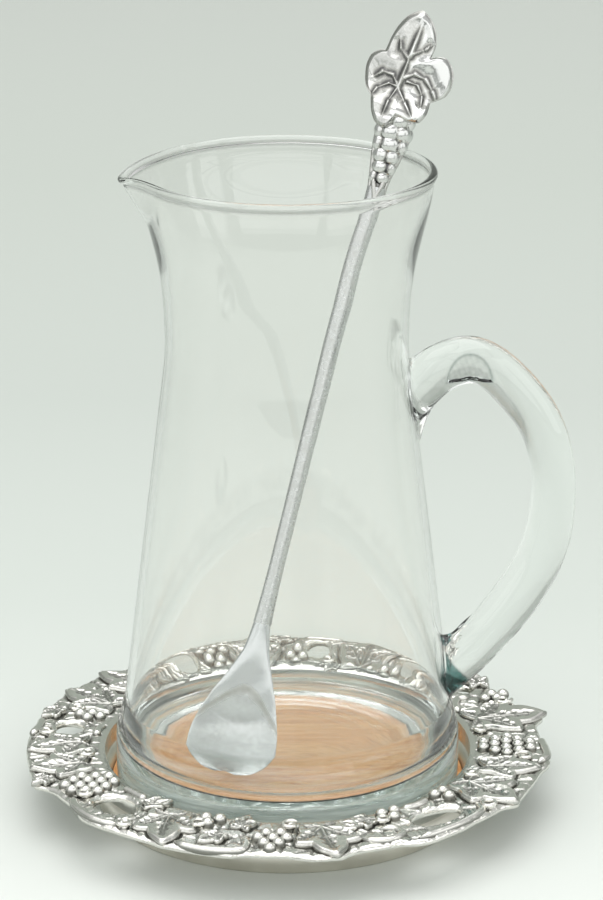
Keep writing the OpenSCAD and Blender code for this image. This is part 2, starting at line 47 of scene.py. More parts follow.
def solid(name, points, faces, material, edges=()):
    """A finished piece from points in millimetres, with its place in its mesh."""
    mesh = bpy.data.meshes.new(name)
    mesh.from_pydata((np.asarray(points, dtype=float) * 0.001).tolist(), edges, faces)
    mesh.validate()
    mesh.polygons.foreach_set("use_smooth", [True] * len(mesh.polygons))
    mesh.materials.append(material)
    made = bpy.data.objects.new(name, mesh)
    bpy.context.scene.collection.objects.link(made)
    return made


def round_turns(count):
    """Even turns round a circle."""
    return np.arange(count) * 2 * math.pi / count


def strip(j, k, first, last, columns):
    """Faces between two neighbouring columns of points, from one row of them to another."""
    return [(a + j, a + k, a + columns + k, a + columns + j) for a in range(first, last, columns)]


def round_faces(rings, columns):
    """Faces over rings of points that lie between a first and a last point on the axis."""
    faces, end = [], 1 + rings * columns
    for j in range(columns):
        k = (j + 1) % columns
        faces += [(0, 1 + k, 1 + j)] + strip(j, k, 1, end - columns, columns)
        faces.append((end - columns + j, end - columns + k, end))
    return faces


def turned(profile, columns):
    """Points and faces of a closed profile of [radius, height], starting and ending on the axis."""
    points, turn = [[0, 0, profile[0][1]]], round_turns(columns)
    for radius, height in profile[1:-1]:
        points += np.stack([radius * np.cos(turn), radius * np.sin(turn), height + 0 * turn], 1).tolist()
    return points + [[0, 0, profile[-1][1]]], round_faces(len(profile) - 2, columns)


def rounded(corners):
    """A profile whose corners [radius, height, rounding] are eased by that rounding."""
    out = []
    for i, (r, z, fillet) in enumerate(corners):
        if not fillet or i in (0, len(corners) - 1):
            out.append((r, z))
            continue
        here = np.array([r, z])
        back = np.array(corners[i - 1][:2]) - here
        on = np.array(corners[i + 1][:2]) - here
        back, on = back / np.linalg.norm(back) * fillet, on / np.linalg.norm(on) * fillet
        for t in np.arange(6) / 5:
            out.append(tuple(here + back * (1 - t) ** 2 + on * t ** 2))
    return out


def linear(code):
    """A swatch colour as the shaders take it."""
    parts = [int(code[i:i + 2], 16) / 255 for i in (0, 2, 4)]
    return tuple(v / 12.92 if v <= 0.04045 else ((v + 0.055) / 1.055) ** 2.4 for v in parts) + (1.0,)


def add(tree, kind, sockets, **properties):
    """One node of a tree. Its inputs are values, sockets that feed them, or nodes whose first output does."""
    made = tree.nodes.new(kind)
    for name, value in properties.items():
        setattr(made, name, value)
    for key, value in sockets.items():
        if isinstance(value, bpy.types.Node):
            value = value.outputs[0]
        if isinstance(value, bpy.types.NodeSocket):
            tree.links.new(value, made.inputs[key])
        else:
            made.inputs[key].default_value = value
    return made


def material_of(name):
    """An empty material, its tree, and the place on the piece that its patterns follow."""
    made = bpy.data.materials.new(name)
    made.use_nodes = True
    made.node_tree.nodes.clear()
    return made, made.node_tree, add(made.node_tree, "ShaderNodeTexCoord", {}).outputs["Object"]


def ramp(tree, factor, stops):
    """A colour ramp over [place, swatch code] stops."""
    made = add(tree, "ShaderNodeValToRGB", {"Fac": factor})
    elements = made.color_ramp.elements
    while len(elements) < len(stops):
        elements.new(0.5)
    for element, (place, code) in zip(elements, stops):
        element.position, element.color = place, linear(code)
    return made.outputs["Color"]


# Lathe-turned satin aluminium: rings 0.15 to 0.6 mm apart that widen the highlight up and down the wall.
lathe_satin, tree, place = material_of("lathe_turned_satin_aluminium")
along = add(tree, "ShaderNodeMapping", {"Vector": place, "Scale": (40, 40, 3500)})
lines = add(tree, "ShaderNodeTexNoise", {"Vector": along, "Scale": 1.0, "Detail": 3.0})
cloud = add(tree, "ShaderNodeTexNoise", {"Vector": place, "Scale": 60.0, "Detail": 2.0})
tone = ramp(tree, cloud, [(0.3, "d8d4ca"), (0.7, "e9e6dd")])
rough = add(tree, "ShaderNodeMapRange", {"Value": lines, "To Min": 0.34, "To Max": 0.5})
dents = add(tree, "ShaderNodeBump", {"Height": lines, "Strength": 0.25, "Distance": 0.0001})
metal = add(tree, "ShaderNodeBsdfPrincipled", {
    "Base Color": tone, "Metallic": 1.0, "Roughness": rough, "Normal": dents})
add(tree, "ShaderNodeOutputMaterial", {"Surface": metal})

dish = solid("coaster_dish_casting", *turned(rounded([
    (0, 0.6, 0), (66, 0.6, 0.6), (67.5, 0, 0.8), (73.4, 0, 1.0), (74.3, 3, 1.0), (75.5, 12, 0), (70.5, 12, 0),
    (68.6, 9.2, 1), (68, 7, 0.8), (68, 3, 0), (0, 3, 0)]), 256), lathe_satin)
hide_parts("coaster_dish")
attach(dish, "coaster")


# Wood insert
# A disc turned from one board of a pale hardwood, oiled. The glass stands on it, and its grain runs from
# side to side. It lies loose in the dish.

# Oiled hardwood: pores 0.2 by 4 mm and growth bands 3 to 8 mm wide, drawn out along the board.
oiled_wood, tree, place = material_of("oiled_turned_hardwood")
board = add(tree, "ShaderNodeMapping", {"Vector": place, "Scale": (16, 190, 120)})
bands = add(tree, "ShaderNodeTexNoise", {
    "Vector": board, "Scale": 1.0, "Detail": 4.0, "Roughness": 0.55, "Distortion": 0.5})
fine = add(tree, "ShaderNodeMapping", {"Vector": place, "Scale": (170, 2600, 900)})
pores = add(tree, "ShaderNodeTexNoise", {"Vector": fine, "Scale": 1.0, "Detail": 3.0})
tone = ramp(tree, bands, [
    (0.28, "d38c4a"), (0.45, "e8a262"), (0.58, "f3b87c"), (0.75, "e09a58")])
speck = ramp(tree, pores, [(0.32, "c9955f"), (0.52, "ffffff")])
grain = add(tree, "ShaderNodeMix", {0: 0.55, 6: tone, 7: speck}, data_type="RGBA", blend_type="MULTIPLY")
rough = add(tree, "ShaderNodeMapRange", {"Value": pores, "To Min": 0.5, "To Max": 0.34})
dents = add(tree, "ShaderNodeBump", {"Height": pores, "Strength": 0.3, "Distance": 0.0001})
wood = add(tree, "ShaderNodeBsdfPrincipled", {
    "Base Color": grain.outputs[2], "Roughness": rough, "Normal": dents,
    "Coat Weight": 0.2, "Coat Roughness": 0.25})
add(tree, "ShaderNodeOutputMaterial", {"Surface": wood})

insert = solid("wood_insert_disc", *turned(rounded([
    (0, 3, 0), (67.75, 3, 0.5), (67.75, 7.98, 0.6), (0, 7.98, 0)]), 256), oiled_wood)
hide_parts("wood_insert")
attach(insert, "coaster")


# Coaster rim
# The openwork flange of the same casting. It lies flat round a smooth lip that stands up from the dish, its
# edge is scalloped where leaves and vines reach it, and it is pierced between them.

opening_r, rim_w = 70.5, 29.5
lip_h, rim_out_h = 20.0, 20.6


def rim_at(share):
    """Radius at a share of the rim's width."""
    return opening_r + share * rim_w


def rim_h(radius):
    """Height of the rim's ground at a radius."""
    return lip_h + (rim_out_h - lip_h) * (radius - opening_r) / rim_w


def on_rim(turn, share, up=0.0):
    """A point over the rim's ground, from its direction in degrees and its share of the width."""
    turn, share, up = np.broadcast_arrays(np.radians(turn), share, up)
    radius = rim_at(share)
    return np.stack([radius * np.cos(turn), radius * np.sin(turn), rim_h(radius) + up], -1)


def eased(key, table):
    """Value of a table at keys, eased between its rows."""
    table = np.array(table, dtype=float)
    row = np.clip(np.searchsorted(table[:, 0], key, side="right") - 1, 0, len(table) - 2)
    t = np.clip((key - table[row, 0]) / (table[row + 1, 0] - table[row, 0]), 0, 1)
    return table[row, 1] + (table[row + 1, 1] - table[row, 1]) * t * t * (3 - 2 * t)


scallops = [
    [0, 0.95], [5, 0.91], [14, 1.02], [23, 0.91], [28, 0.78], [36, 0.89], [47, 0.83], [67, 1.03],
    [81, 0.95], [92, 1.02], [104, 0.93], [112, 0.97], [121, 0.95], [131, 0.97], [138, 0.93],
    [149, 0.97], [162, 0.91], [178, 1.03], [190, 0.89], [200, 1.08], [213, 0.85], [223, 1.07],
    [240, 1], [258, 1.07], [264, 0.89], [277, 1.11], [291, 0.89], [300, 1.08], [309, 1.02],
    [319, 0.92], [328, 1.04], [341, 0.97], [349, 1.08], [360, 0.95]]
# Holes: direction, place across the rim, and size along and across it, as shares of its width
holes = [
    [36, 0.58, 0.22, 0.24], [50.6, 0.55, 0.5, 0.48], [81.5, 0.62, 0.36, 0.36], [121, 0.56, 0.5, 0.44],
    [170.4, 0.54, 0.38, 0.44], [221.3, 0.5, 0.48, 0.6], [308.5, 0.54, 0.42, 0.72]]
width_turn = 20
# Leaves: direction, place across the rim, length as a share of its width, and heading
leaves = [
    [15.5, 0.46, 0.7, -4], [37, 0.85, 0.25, 60], [41, 0.18, 0.24, -40], [67, 0.46, 0.66, 4],
    [75.5, 0.14, 0.23, 160], [92, 0.83, 0.26, 20], [100, 0.42, 0.59, -8], [136.4, 0.46, 0.59, 12],
    [126.4, 0.14, 0.22, 40], [152.5, 0.46, 0.59, -8], [163, 0.87, 0.22, 60], [182.4, 0.46, 0.54, 10],
    [195.4, 0.52, 0.5, -2], [201.5, 0.94, 0.2, 20], [229.4, 0.17, 0.26, 140], [239.2, 0.5, 0.58, 22],
    [253, 0.64, 0.25, -30], [258, 0.2, 0.27, 170], [279.3, 0.5, 0.6, 4], [291.4, 0.24, 0.27, -70],
    [329.4, 0.46, 0.62, -14], [343.2, 0.46, 0.51, 10]]
# Bunches: direction, place of the first row across the rim, and grapes in each row going outwards
bunches = [
    [357, 0.18, [2, 3, 4, 3, 2]], [266.6, 0.42, [2, 3, 2, 1]], [208.5, 0.16, [2, 3, 4, 3, 2]],
    [112, 0.26, [1, 2, 3, 2]], [87.5, 0.26, [1, 2, 1]], [320, 0.12, [2, 1]], [300, 0.14, [2, 1]],
    [27.5, 0.6, [1, 2, 1]], [162.8, 0.22, [1, 2, 1]], [249, 0.16, [2, 1]], [56.6, 0.12, [1, 2]]]
# Vines: directions and places across the rim
vines = [
    [[213, 0.82], [217, 0.92], [223, 0.98], [228, 0.96], [231, 0.9]],
    [[215, 0.12], [220, 0.11], [225, 0.12]],
    [[245.5, 0.92], [249, 0.99], [254, 1.01], [260, 0.94], [261, 0.74], [259, 0.56]],
    [[287.5, 0.7], [290, 0.8], [293.5, 0.84], [297, 0.74], [296.5, 0.56], [293.5, 0.5]],
    [[299, 0.96], [306, 0.93], [313, 0.9], [319, 0.84], [321.5, 0.62]],
    [[305, 0.13], [310, 0.15], [314.5, 0.13]],
    [[23.5, 0.1], [28, 0.16], [31.5, 0.3], [30.5, 0.46]],
    [[42, 0.88], [49, 0.88], [56, 0.92]],
    [[76, 0.92], [81, 0.93], [86, 0.94]],
    [[115, 0.92], [121, 0.93], [127, 0.94]],
    [[168, 0.94], [172, 0.93], [176.5, 0.98]],
    [[167.5, 0.1], [171, 0.14], [175, 0.14]],
    [[348, 0.92], [352, 1], [357, 0.96], [361, 0.92]]]


def hole_ring(turn, place, tall, wide):
    """The outline of a hole."""
    t = round_turns(40)
    share = place + tall / 2 * np.cos(t)
    angle = turn + wide / 2 * (1 + np.sin(t) / 6) * np.sin(t) * width_turn
    return on_rim(angle, share)[:, :2]


def inside(points, ring):
    """Which points lie within a ring."""
    found = np.zeros(len(points), dtype=bool)
    for a, b in zip(ring, np.roll(ring, -1, axis=0)):
        crosses = (a[1] > points[:, 1]) != (b[1] > points[:, 1])
        with np.errstate(divide="ignore", invalid="ignore"):
            found ^= crosses & (points[:, 0] < (b[0] - a[0]) * (points[:, 1] - a[1]) / (b[1] - a[1]) + a[0])
    return found


def distance(points, ring):
    """Distance of points from a ring."""
    least = np.full(len(points), 1e9)
    for a, b in zip(ring, np.roll(ring, -1, axis=0)):
        run = b - a
        t = np.clip(((points - a) @ run) / (run @ run), 0, 1)
        least = np.minimum(least, np.linalg.norm(points - a - t[:, None] * run, axis=1))
    return least


def smooth(t):
    """Eases 0 to 1."""
    t = np.clip(t, 0, 1)
    return t * t * (3 - 2 * t)


def bell(off, width):
    """A soft hump: 1 in its middle, and about a third at its width."""
    return np.exp(-(off / width) ** 2)


def leaf_edge(rows, width, mirrored=True):
    """Reach of a leaf's edge at each degree from its tip, with its corners rounded over a width in degrees."""
    if mirrored:
        rows = rows + [[360 - t, reach] for t, reach in rows[-2::-1]]
    reach = np.interp(np.arange(360), *np.transpose(rows))
    window = np.hanning(width + 2)[1:-1]
    return np.convolve(np.tile(reach, 3), window / window.sum(), "same")[360:720]


vine_leaf = leaf_edge([
    [0, 1.06], [10, 0.88], [20, 0.76], [31, 0.63], [38, 0.56], [48, 0.69], [58, 0.77], [70, 0.67], [85, 0.61],
    [98, 0.55], [110, 0.53], [126, 0.64], [140, 0.72], [154, 0.58], [170, 0.42], [180, 0.36]], 6)


def leaf_outline(turn, edge, grown_by=1.0):
    """Places across and along a leaf of its edge, at turns from its tip."""
    reach = np.interp(turn, np.arange(361), np.append(edge, edge[0])) * grown_by
    return -reach * np.sin(np.radians(turn)), reach * np.cos(np.radians(turn))


def cos_sin(degrees):
    """Cosine and sine of an angle in degrees."""
    return math.cos(math.radians(degrees)), math.sin(math.radians(degrees))


def leaf_plan(leaf, across, along):
    """Direction and place on the rim of points of a leaf, given across and along it as shares of its length."""
    turn, place, length, heading = leaf
    c, s = cos_sin(heading)
    out, side = (across * s + along * c) * length, (along * s - across * c) * length
    return turn + side * width_turn, place + out


# Cast aluminium, tumbled and hand polished: the high parts are bright, and the recesses keep the grey skin
# of the sand. The attribute polish says how far the wheel has reached.
def cast_aluminium(name, grain_mm, skin, bright, shine, bumps):
    made, tree, place = material_of(name)
    reached = add(tree, "ShaderNodeAttribute", {}, attribute_name="polish")
    sand = add(tree, "ShaderNodeTexNoise", {
        "Vector": place, "Scale": 1000 / grain_mm, "Detail": 4.0, "Roughness": 0.6})
    waves = add(tree, "ShaderNodeTexNoise", {"Vector": place, "Scale": 220.0, "Detail": 2.0, "Roughness": 0.4})
    mottled = add(tree, "ShaderNodeMath", {0: sand, 1: 0.35}, operation="MULTIPLY")
    worn = add(tree, "ShaderNodeMath", {0: reached.outputs["Fac"], 1: mottled}, operation="ADD")
    tone = ramp(tree, worn, [(0.2, skin), (0.6, "a9a9a4"), (1.0, bright)])
    rough = add(tree, "ShaderNodeMapRange", {
        "Value": worn, "From Min": 0.1, "From Max": 1.0, "To Min": 0.45, "To Max": shine})
    fine = add(tree, "ShaderNodeBump", {"Height": sand, "Strength": bumps, "Distance": 0.0002})
    soft = add(tree, "ShaderNodeBump", {
        "Height": waves, "Strength": 0.1 + 1.25 * bumps, "Distance": 0.0006, "Normal": fine})
    metal = add(tree, "ShaderNodeBsdfPrincipled", {
        "Base Color": tone, "Metallic": 1.0, "Roughness": rough, "Normal": soft})
    add(tree, "ShaderNodeOutputMaterial", {"Surface": metal})
    return made


def mark(piece, name, values):
    """Stores one number for each point of a piece, or the same for all."""
    attribute = piece.data.attributes.new(name, "FLOAT", "POINT")
    attribute.data.foreach_set("value", np.full(len(piece.data.vertices), values, dtype=np.float32))


rim_metal = cast_aluminium("polished_sand_cast_aluminium", 0.7, "85857f", "e6e5df", 0.16, 0.2)

step = 0.75
turns = np.arange(0, 360, step)
edge_at = eased(turns, scallops) * 0.985
# Where a leaf reaches over the edge, the ground follows it
for leaf in leaves:
    turn, share = leaf_plan(leaf, *leaf_outline(np.arange(0, 360, 0.5), vine_leaf, 1.01))
    np.maximum.at(edge_at, np.round(turn / step).astype(int) % len(turns), share)
# It also fills the narrow bays between their lobes
bays = np.arange(-6, 7)
edge_at = np.max([np.roll(edge_at, k) for k in bays], axis=0)
edge_at = np.min([np.roll(edge_at, k) for k in bays], axis=0)
edge_at = np.convolve(np.tile(edge_at, 3), [0.1, 0.25, 0.3, 0.25, 0.1], "same")[len(turns):2 * len(turns)]
edge_at = np.minimum(edge_at, 1.09)
outer = on_rim(turns, edge_at)[:, :2]
inner = on_rim(np.arange(0, 360, 1.0), 0)[:, :2]
rings = [outer, inner] + [hole_ring(*hole) for hole in holes]


def on_flange(points):
    """Which points lie on the flange and in none of its holes."""
    return inside(points, outer) & ~np.any([inside(points, ring) for ring in rings[1:]], axis=0)


grid = []
for i, share in enumerate(np.linspace(0.008, 1.12, 48)):
    count = int(2 * math.pi * rim_at(share) / 0.7)
    grid.append(on_rim((np.arange(count) + i % 2 / 2) * 360 / count, share)[:, :2])
grid = np.concatenate(grid)
keep = on_flange(grid)
for ring in rings:
    keep &= distance(grid, ring) > (0.2 if ring is inner else 0.3)
start, edges = 0, []
for ring in rings:
    edges += [(start + k, start + (k + 1) % len(ring)) for k in range(len(ring))]
    start += len(ring)
# The flat cut-out is triangulated between its edges, then raised into the ground of the relief.
spots = [Vector(p) for p in np.concatenate(rings + [grid[keep]])]
laid, _, tiles, _, _, _ = delaunay_2d_cdt(spots, edges, [], 0, 1e-6)
flat = np.array([[p.x, p.y] for p in laid])
tiles = np.array(tiles)
tiles = tiles[on_flange(flat[tiles].mean(axis=1))]
radius = np.linalg.norm(flat, axis=1)
to_outer = distance(flat, outer)
to_edge = np.minimum(to_outer, distance(flat, inner) * 0.8)
for ring in rings[2:]:
    to_edge = np.minimum(to_edge, distance(flat, ring))
# How far each place of the ground is from the nearest leaf: right beside one it is sunk and dark
clear = np.full(len(flat), 1e9)
for leaf in leaves:
    ring = on_rim(*leaf_plan(leaf, *leaf_outline(np.arange(0, 360, 6.0), vine_leaf)))[:, :2]
    near = np.linalg.norm(flat - on_rim(leaf[0], leaf[1])[:2], axis=1) < 30
    clear[near] = np.minimum(clear[near], np.where(inside(flat[near], ring), 0, distance(flat[near], ring)))
# Small leaves in low relief fill the ground: each is the part of it that lies nearest to one middle
chance = np.random.default_rng(11)
middles = []
for row_r in np.arange(76.5, 104, 6.4):
    count = int(2 * math.pi * row_r / 9.5)
    turn = (np.arange(count) + chance.uniform(-0.3, 0.3, count)) * 2 * math.pi / count + chance.uniform(0, 1)
    r = row_r + chance.uniform(-1.3, 1.3, count)
    middles += np.stack([r * np.cos(turn), r * np.sin(turn)], 1).tolist()
veer = chance.uniform(-0.9, 0.9, len(middles))
nearest = KDTree(len(middles))
for k, (x, y) in enumerate(middles):
    nearest.insert((x, y, 0), k)
nearest.balance()
found = [nearest.find_n((x, y, 0), 2) for x, y in flat]
apart = np.array([two[1][2] - two[0][2] for two in found])
which = np.array([two[0][1] for two in found])
off = flat - np.array(middles)[which]
along = np.arctan2(flat[:, 1], flat[:, 0]) + veer[which]
beside = np.abs(off[:, 0] * np.sin(along) - off[:, 1] * np.cos(along))
dome = 1 - np.exp(-apart / 0.7)
rib = bell(beside, 0.35) + 0.35 * np.cos(beside * 3.6) * np.exp(-beside / 4)
lip = smooth((radius - opening_r - 1.4) / 1.8)
fill = lip * smooth((clear - 0.2) / 1.4) * smooth(to_edge / 1.6)
height = rim_h(radius) - 0.7 * (1 - smooth(to_edge / 1.1)) - 0.6 * lip * smooth(to_edge / 2.2)
height += fill * (0.75 * dome + 0.035 * apart + 0.3 * rib)
high = fill * np.clip(0.1 + 0.75 * dome + 0.3 * rib, 0, 1)
polish = np.clip(0.95 - lip * smooth(to_edge / 2) * 0.9 * (1 - high), 0, 1)
# Under its lip the casting is thick, down to the top of the dish, and from there on it is a thin flange
dish_h, dish_r, flange_t = 12, 75.5, 2.6
under = dish_h + (rim_h(radius) - flange_t - dish_h) * smooth((radius - dish_r) / 4)
under += 0.7 * (1 - smooth(to_outer / 5)) * smooth((radius - 80) / 6)
points = np.concatenate([np.column_stack([flat, height]), np.column_stack([flat, under])])
sides = {(int(t[k]), int(t[(k + 1) % 3])) for t in tiles for k in range(3)}
n = len(flat)
faces = tiles.tolist() + (tiles[:, ::-1] + n).tolist()
faces += [(p + n, q + n, q, p) for p, q in sides if (q, p) not in sides]
rim = solid("coaster_rim_casting", points, faces, rim_metal)
rim.data.set_sharp_from_angle(angle=1.0)
mark(rim, "polish", np.concatenate([polish, np.where(radius < 72, 0.95, 0.55)]))
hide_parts("coaster_rim")
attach(rim, "coaster")


# Leaves on the rim
# Vine leaves of the same casting, five lobed and puffed up between their veins. Each was carved in the
# pattern by hand, so no two are quite alike.

def branched(root, tips, width, seed):
    """Veins of a leaf [start, end, half width]: one to each lobe, with three pairs of side veins."""
    wobble = np.random.default_rng(seed).uniform(-0.05, 0.05, (len(tips), 2))
    veins = []
    for end in np.array(tips) + wobble:
        run = end - root
        veins.append((root, end, width))
        for share in (0.34, 0.56, 0.76):
            for sign in (-1, 1):
                turn = math.atan2(run[1], run[0]) + sign * 0.8
                start = root + run * share
                side = np.array([math.cos(turn), math.sin(turn)]) * 0.32 * (1.1 - share)
                veins.append((start, start + side, width / 2))
    return veins


def leaf_relief(across, along, veins, puffed):
    """Height and polish of a leaf, both 0 to 1, at places across and along it as shares of its length."""
    spot = np.stack([across, along], -1)
    near, ridge = np.full(across.shape, 9.0), np.zeros(across.shape)
    for start, end, width in veins:
        start, run = np.asarray(start), np.asarray(end) - np.asarray(start)
        t = np.clip(((spot - start) @ run) / (run @ run), 0, 1)
        away = np.linalg.norm(spot - start - t[..., None] * run, axis=-1)
        thick = width * (1.1 - 0.6 * t)
        ridge = np.maximum(ridge, bell(away, thick) * (1.05 - 0.45 * t))
        near = np.minimum(near, np.maximum(away - thick * 1.2, 0) + 0.1 * t ** 6)
    height = 0.4 * smooth(near / puffed) + 0.2 * smooth(near / 0.3) + 0.42 * ridge
    return height, np.clip(0.06 + 0.84 * smooth(near / 0.075) + 0.95 * ridge ** 2, 0, 1)


def leaf_mesh(columns, rows, thick, edge, veins, puffed, rim_share):
    """Points [across, along, height], faces and polish of one leaf with a flat back."""
    x, y = leaf_outline(np.arange(columns) * 360 / columns, edge)
    points, polish = [np.stack([x, y, 0 * x], 1)], [0 * x + 0.6]
    for share in 1 - np.linspace(0, 1, rows + 1)[:-1] ** 1.3:
        relief, shine = leaf_relief(x * share, y * share, veins, puffed)
        depth = smooth((1 - share) / 0.1)
        crown = rim_share + (0.6 - rim_share) * depth
        points.append(np.stack([x * share, y * share, thick * (crown + (relief - 0.25) * 0.6 * depth)], 1))
        polish.append(np.where(share > 0.95, 0.55, shine))
    relief, shine = leaf_relief(np.zeros(1), np.zeros(1), veins, puffed)
    points.append([[0, 0, thick * (0.45 + relief[0] * 0.6)], [0, 0, 0]])
    polish.append([shine[0], 0.6])
    faces, last = [], rows * columns
    for j in range(columns):
        k = (j + 1) % columns
        faces += strip(j, k, 0, last, columns)
        faces += [(last + j, last + k, last + columns), (k, j, last + columns + 1)]
    return np.concatenate(points), faces, np.concatenate(polish)


leaf_root = np.array([0.0, -0.32])
lobe_tips = [(0.0, 0.93), (-0.58, 0.36), (0.58, 0.36), (-0.38, -0.55), (0.38, -0.55)]
points, faces, polish, start = [], [], [], 0
for number, leaf in enumerate(leaves):
    columns, rows, raised = (72, 12, 0.9) if leaf[2] < 0.4 else (168, 32, 1)
    veins = branched(leaf_root, lobe_tips, 0.03, number)
    shape, tiles, shine = leaf_mesh(columns, rows, 2.4, vine_leaf, veins, 0.1, 0.36)
    x, y, up = shape.T
    # Each leaf is waved a little as a whole
    wave = 0.45 * np.sin(x * 5 + number) * np.cos(y * 4 + 2 * number)
    points.append(on_rim(*leaf_plan(leaf, x, y), np.where(up > 0, -0.15 + up * raised + wave, -0.6)))
    faces += [tuple(v + start for v in face) for face in tiles]
    polish.append(shine)
    start += len(shape)
rim_foliage = solid("rim_leaves_casting", np.concatenate(points), faces, rim_metal)
mark(rim_foliage, "polish", np.concatenate(polish))
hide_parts("rim_leaves")
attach(rim_foliage, "coaster")


# Grapes on the rim
# Round berries of the same casting, in bunches of staggered rows. They take the polish first, so they are
# the brightest points of the rim.

def input_of(modifier, name):
    """Identifier of a named input of a Geometry Nodes modifier."""
    for item in modifier.node_group.interface.items_tree:
        if item.item_type == "SOCKET" and item.in_out == "INPUT" and item.name == name:
            return item.identifier
    raise KeyError(name)


def grown(name, source, tree, material, **values):
    """Runs a Geometry Nodes tree on a mesh and keeps the result as a plain piece."""
    modifier = source.modifiers.new(tree.name, "NODES")
    modifier.node_group = tree
    modifier[input_of(modifier, "Material")] = material
    for key, value in values.items():
        modifier[input_of(modifier, key)] = value
    bpy.context.view_layer.update()
    mesh = bpy.data.meshes.new_from_object(source.evaluated_get(bpy.context.evaluated_depsgraph_get()))
    mesh.name = name
    source.modifiers.remove(modifier)
    bpy.data.objects.remove(source)
    made = bpy.data.objects.new(name, mesh)
    bpy.context.scene.collection.objects.link(made)
    return made


def new_geometry(name, inputs):
    """A Geometry Nodes tree with named inputs [name, socket kind, value] and its group input and output."""
    tree = bpy.data.node_groups.new(name, "GeometryNodeTree")
    tree.interface.new_socket("Geometry", in_out="OUTPUT", socket_type="NodeSocketGeometry")
    tree.interface.new_socket("Geometry", in_out="INPUT", socket_type="NodeSocketGeometry")
    tree.interface.new_socket("Material", in_out="INPUT", socket_type="NodeSocketMaterial")
    for label, kind, value in inputs:
        tree.interface.new_socket(label, in_out="INPUT", socket_type=kind).default_value = value
    return tree, tree.nodes.new("NodeGroupInput"), tree.nodes.new("NodeGroupOutput")


def closing(tree, given, geometry, out):
    """Realize Instances and Set Material, which end each tree."""
    real = add(tree, "GeometryNodeRealizeInstances", {"Geometry": geometry})
    even = add(tree, "GeometryNodeSetShadeSmooth", {"Geometry": real})
    done = add(tree, "GeometryNodeSetMaterial", {"Geometry": even, "Material": given.outputs["Material"]})
    tree.links.new(done.outputs[0], out.inputs[0])


# Balls on the points of a mesh: each point's own size is in its attribute size, and the seed varies it.
berry_tree, given, out = new_geometry("berries", [
    ("Size", "NodeSocketFloat", 0.005), ("Uneven", "NodeSocketFloat", 0.06), ("Seed", "NodeSocketInt", 4)])
ball = add(berry_tree, "GeometryNodeMeshIcoSphere", {"Radius": 0.5, "Subdivisions": 4})
own = add(berry_tree, "GeometryNodeInputNamedAttribute", {"Name": "size"}, data_type="FLOAT")
chance = add(berry_tree, "FunctionNodeRandomValue", {"Seed": given.outputs["Seed"]}, data_type="FLOAT")
for socket, value in (("Min", -1.0), ("Max", 0.0)):
    [s for s in chance.inputs if s.name == socket and s.enabled][0].default_value = value
picked = [s for s in chance.outputs if s.enabled][0]
uneven = add(
    berry_tree, "ShaderNodeMath", {0: picked, 1: given.outputs["Uneven"], 2: 1.0}, operation="MULTIPLY_ADD")
scaled = add(berry_tree, "ShaderNodeMath", {0: own, 1: uneven}, operation="MULTIPLY")
full = add(berry_tree, "ShaderNodeMath", {0: scaled, 1: given.outputs["Size"]}, operation="MULTIPLY")
set_out = add(berry_tree, "GeometryNodeInstanceOnPoints", {
    "Points": given.outputs["Geometry"], "Instance": ball, "Scale": full})
closing(berry_tree, given, set_out, out)
grape_d = 5.0


def berries(name, places, sizes, material, seed):
    """A piece of berries at places in millimetres, with their sizes as shares of a grape's."""
    cloud = solid(name + "_places", places, [], material)
    mark(cloud, "size", sizes)
    return grown(name, cloud, berry_tree, material, Size=grape_d / 1000, Seed=seed)


def spots_of(piece):
    """The points of a finished piece, in metres."""
    return np.array([v.co[:] for v in piece.data.vertices])


def berry_at(spots, centres):
    """Which berry each point is on."""
    return np.array([np.argmin(((centres - spot) ** 2).sum(1)) for spot in spots])


# Neighbours almost touch, and the rows are staggered by half a grape
pitch, row_pitch = grape_d + 0.05, (grape_d + 0.05) * math.sin(math.radians(60))
places = []
for turn, place, rows in bunches:
    c, s = cos_sin(turn)
    for i, count in enumerate(rows):
        for k in range(count):
            beside = k - (count - 1) / 2
            r, side = rim_at(place) + i * row_pitch, beside * pitch
            x = r * c - side * s + 0.3 * math.sin(7 * i + 5 * k + turn)
            y = r * s + side * c + 0.3 * math.cos(4 * i + 9 * k + turn)
            places.append([x, y, rim_h(math.hypot(x, y)) + 0.5 - 0.1 * abs(beside)])
rim_fruit = berries("rim_grapes_casting", places, 1.0, rim_metal, 4)
centres, spots = np.array(places) / 1000, spots_of(rim_fruit)
above = spots[:, 2] - centres[berry_at(spots, centres), 2]
mark(rim_fruit, "polish", smooth((above - 0.0002) / 0.0018))
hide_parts("rim_grapes")
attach(rim_fruit, "coaster")


# Vines on the rim
# Strands of the same casting that bind leaves and bunches together and carry the edge past the holes, and
# thin tendrils that curl in the gaps between them.

# A strand along each line of a mesh: it swells and thins a little, like a cane.
vine_tree, given, out = new_geometry("vines", [
    ("Width", "NodeSocketFloat", 0.0034), ("Knots", "NodeSocketFloat", 0.12), ("Sides", "NodeSocketInt", 14)])
lines = add(vine_tree, "GeometryNodeMeshToCurve", {"Mesh": given.outputs["Geometry"]})
bent = add(vine_tree, "GeometryNodeCurveSplineType", {"Curve": lines}, spline_type="CATMULL_ROM")
evenly = add(vine_tree, "GeometryNodeResampleCurve", {"Curve": bent}, mode="LENGTH")
[s for s in evenly.inputs if s.name == "Length"][0].default_value = 0.0006
along = add(vine_tree, "GeometryNodeSplineParameter", {})
near_end = add(vine_tree, "ShaderNodeMath", {0: along, 1: 0.5}, operation="SUBTRACT")
from_end = add(vine_tree, "ShaderNodeMath", {0: near_end}, operation="ABSOLUTE")
taper = add(vine_tree, "ShaderNodeMapRange", {
    "Value": from_end, "From Min": 0.5, "From Max": 0.4, "To Min": 0.3, "To Max": 1.0})
knots = add(vine_tree, "ShaderNodeTexNoise", {"Scale": 260.0, "Detail": 1.0})
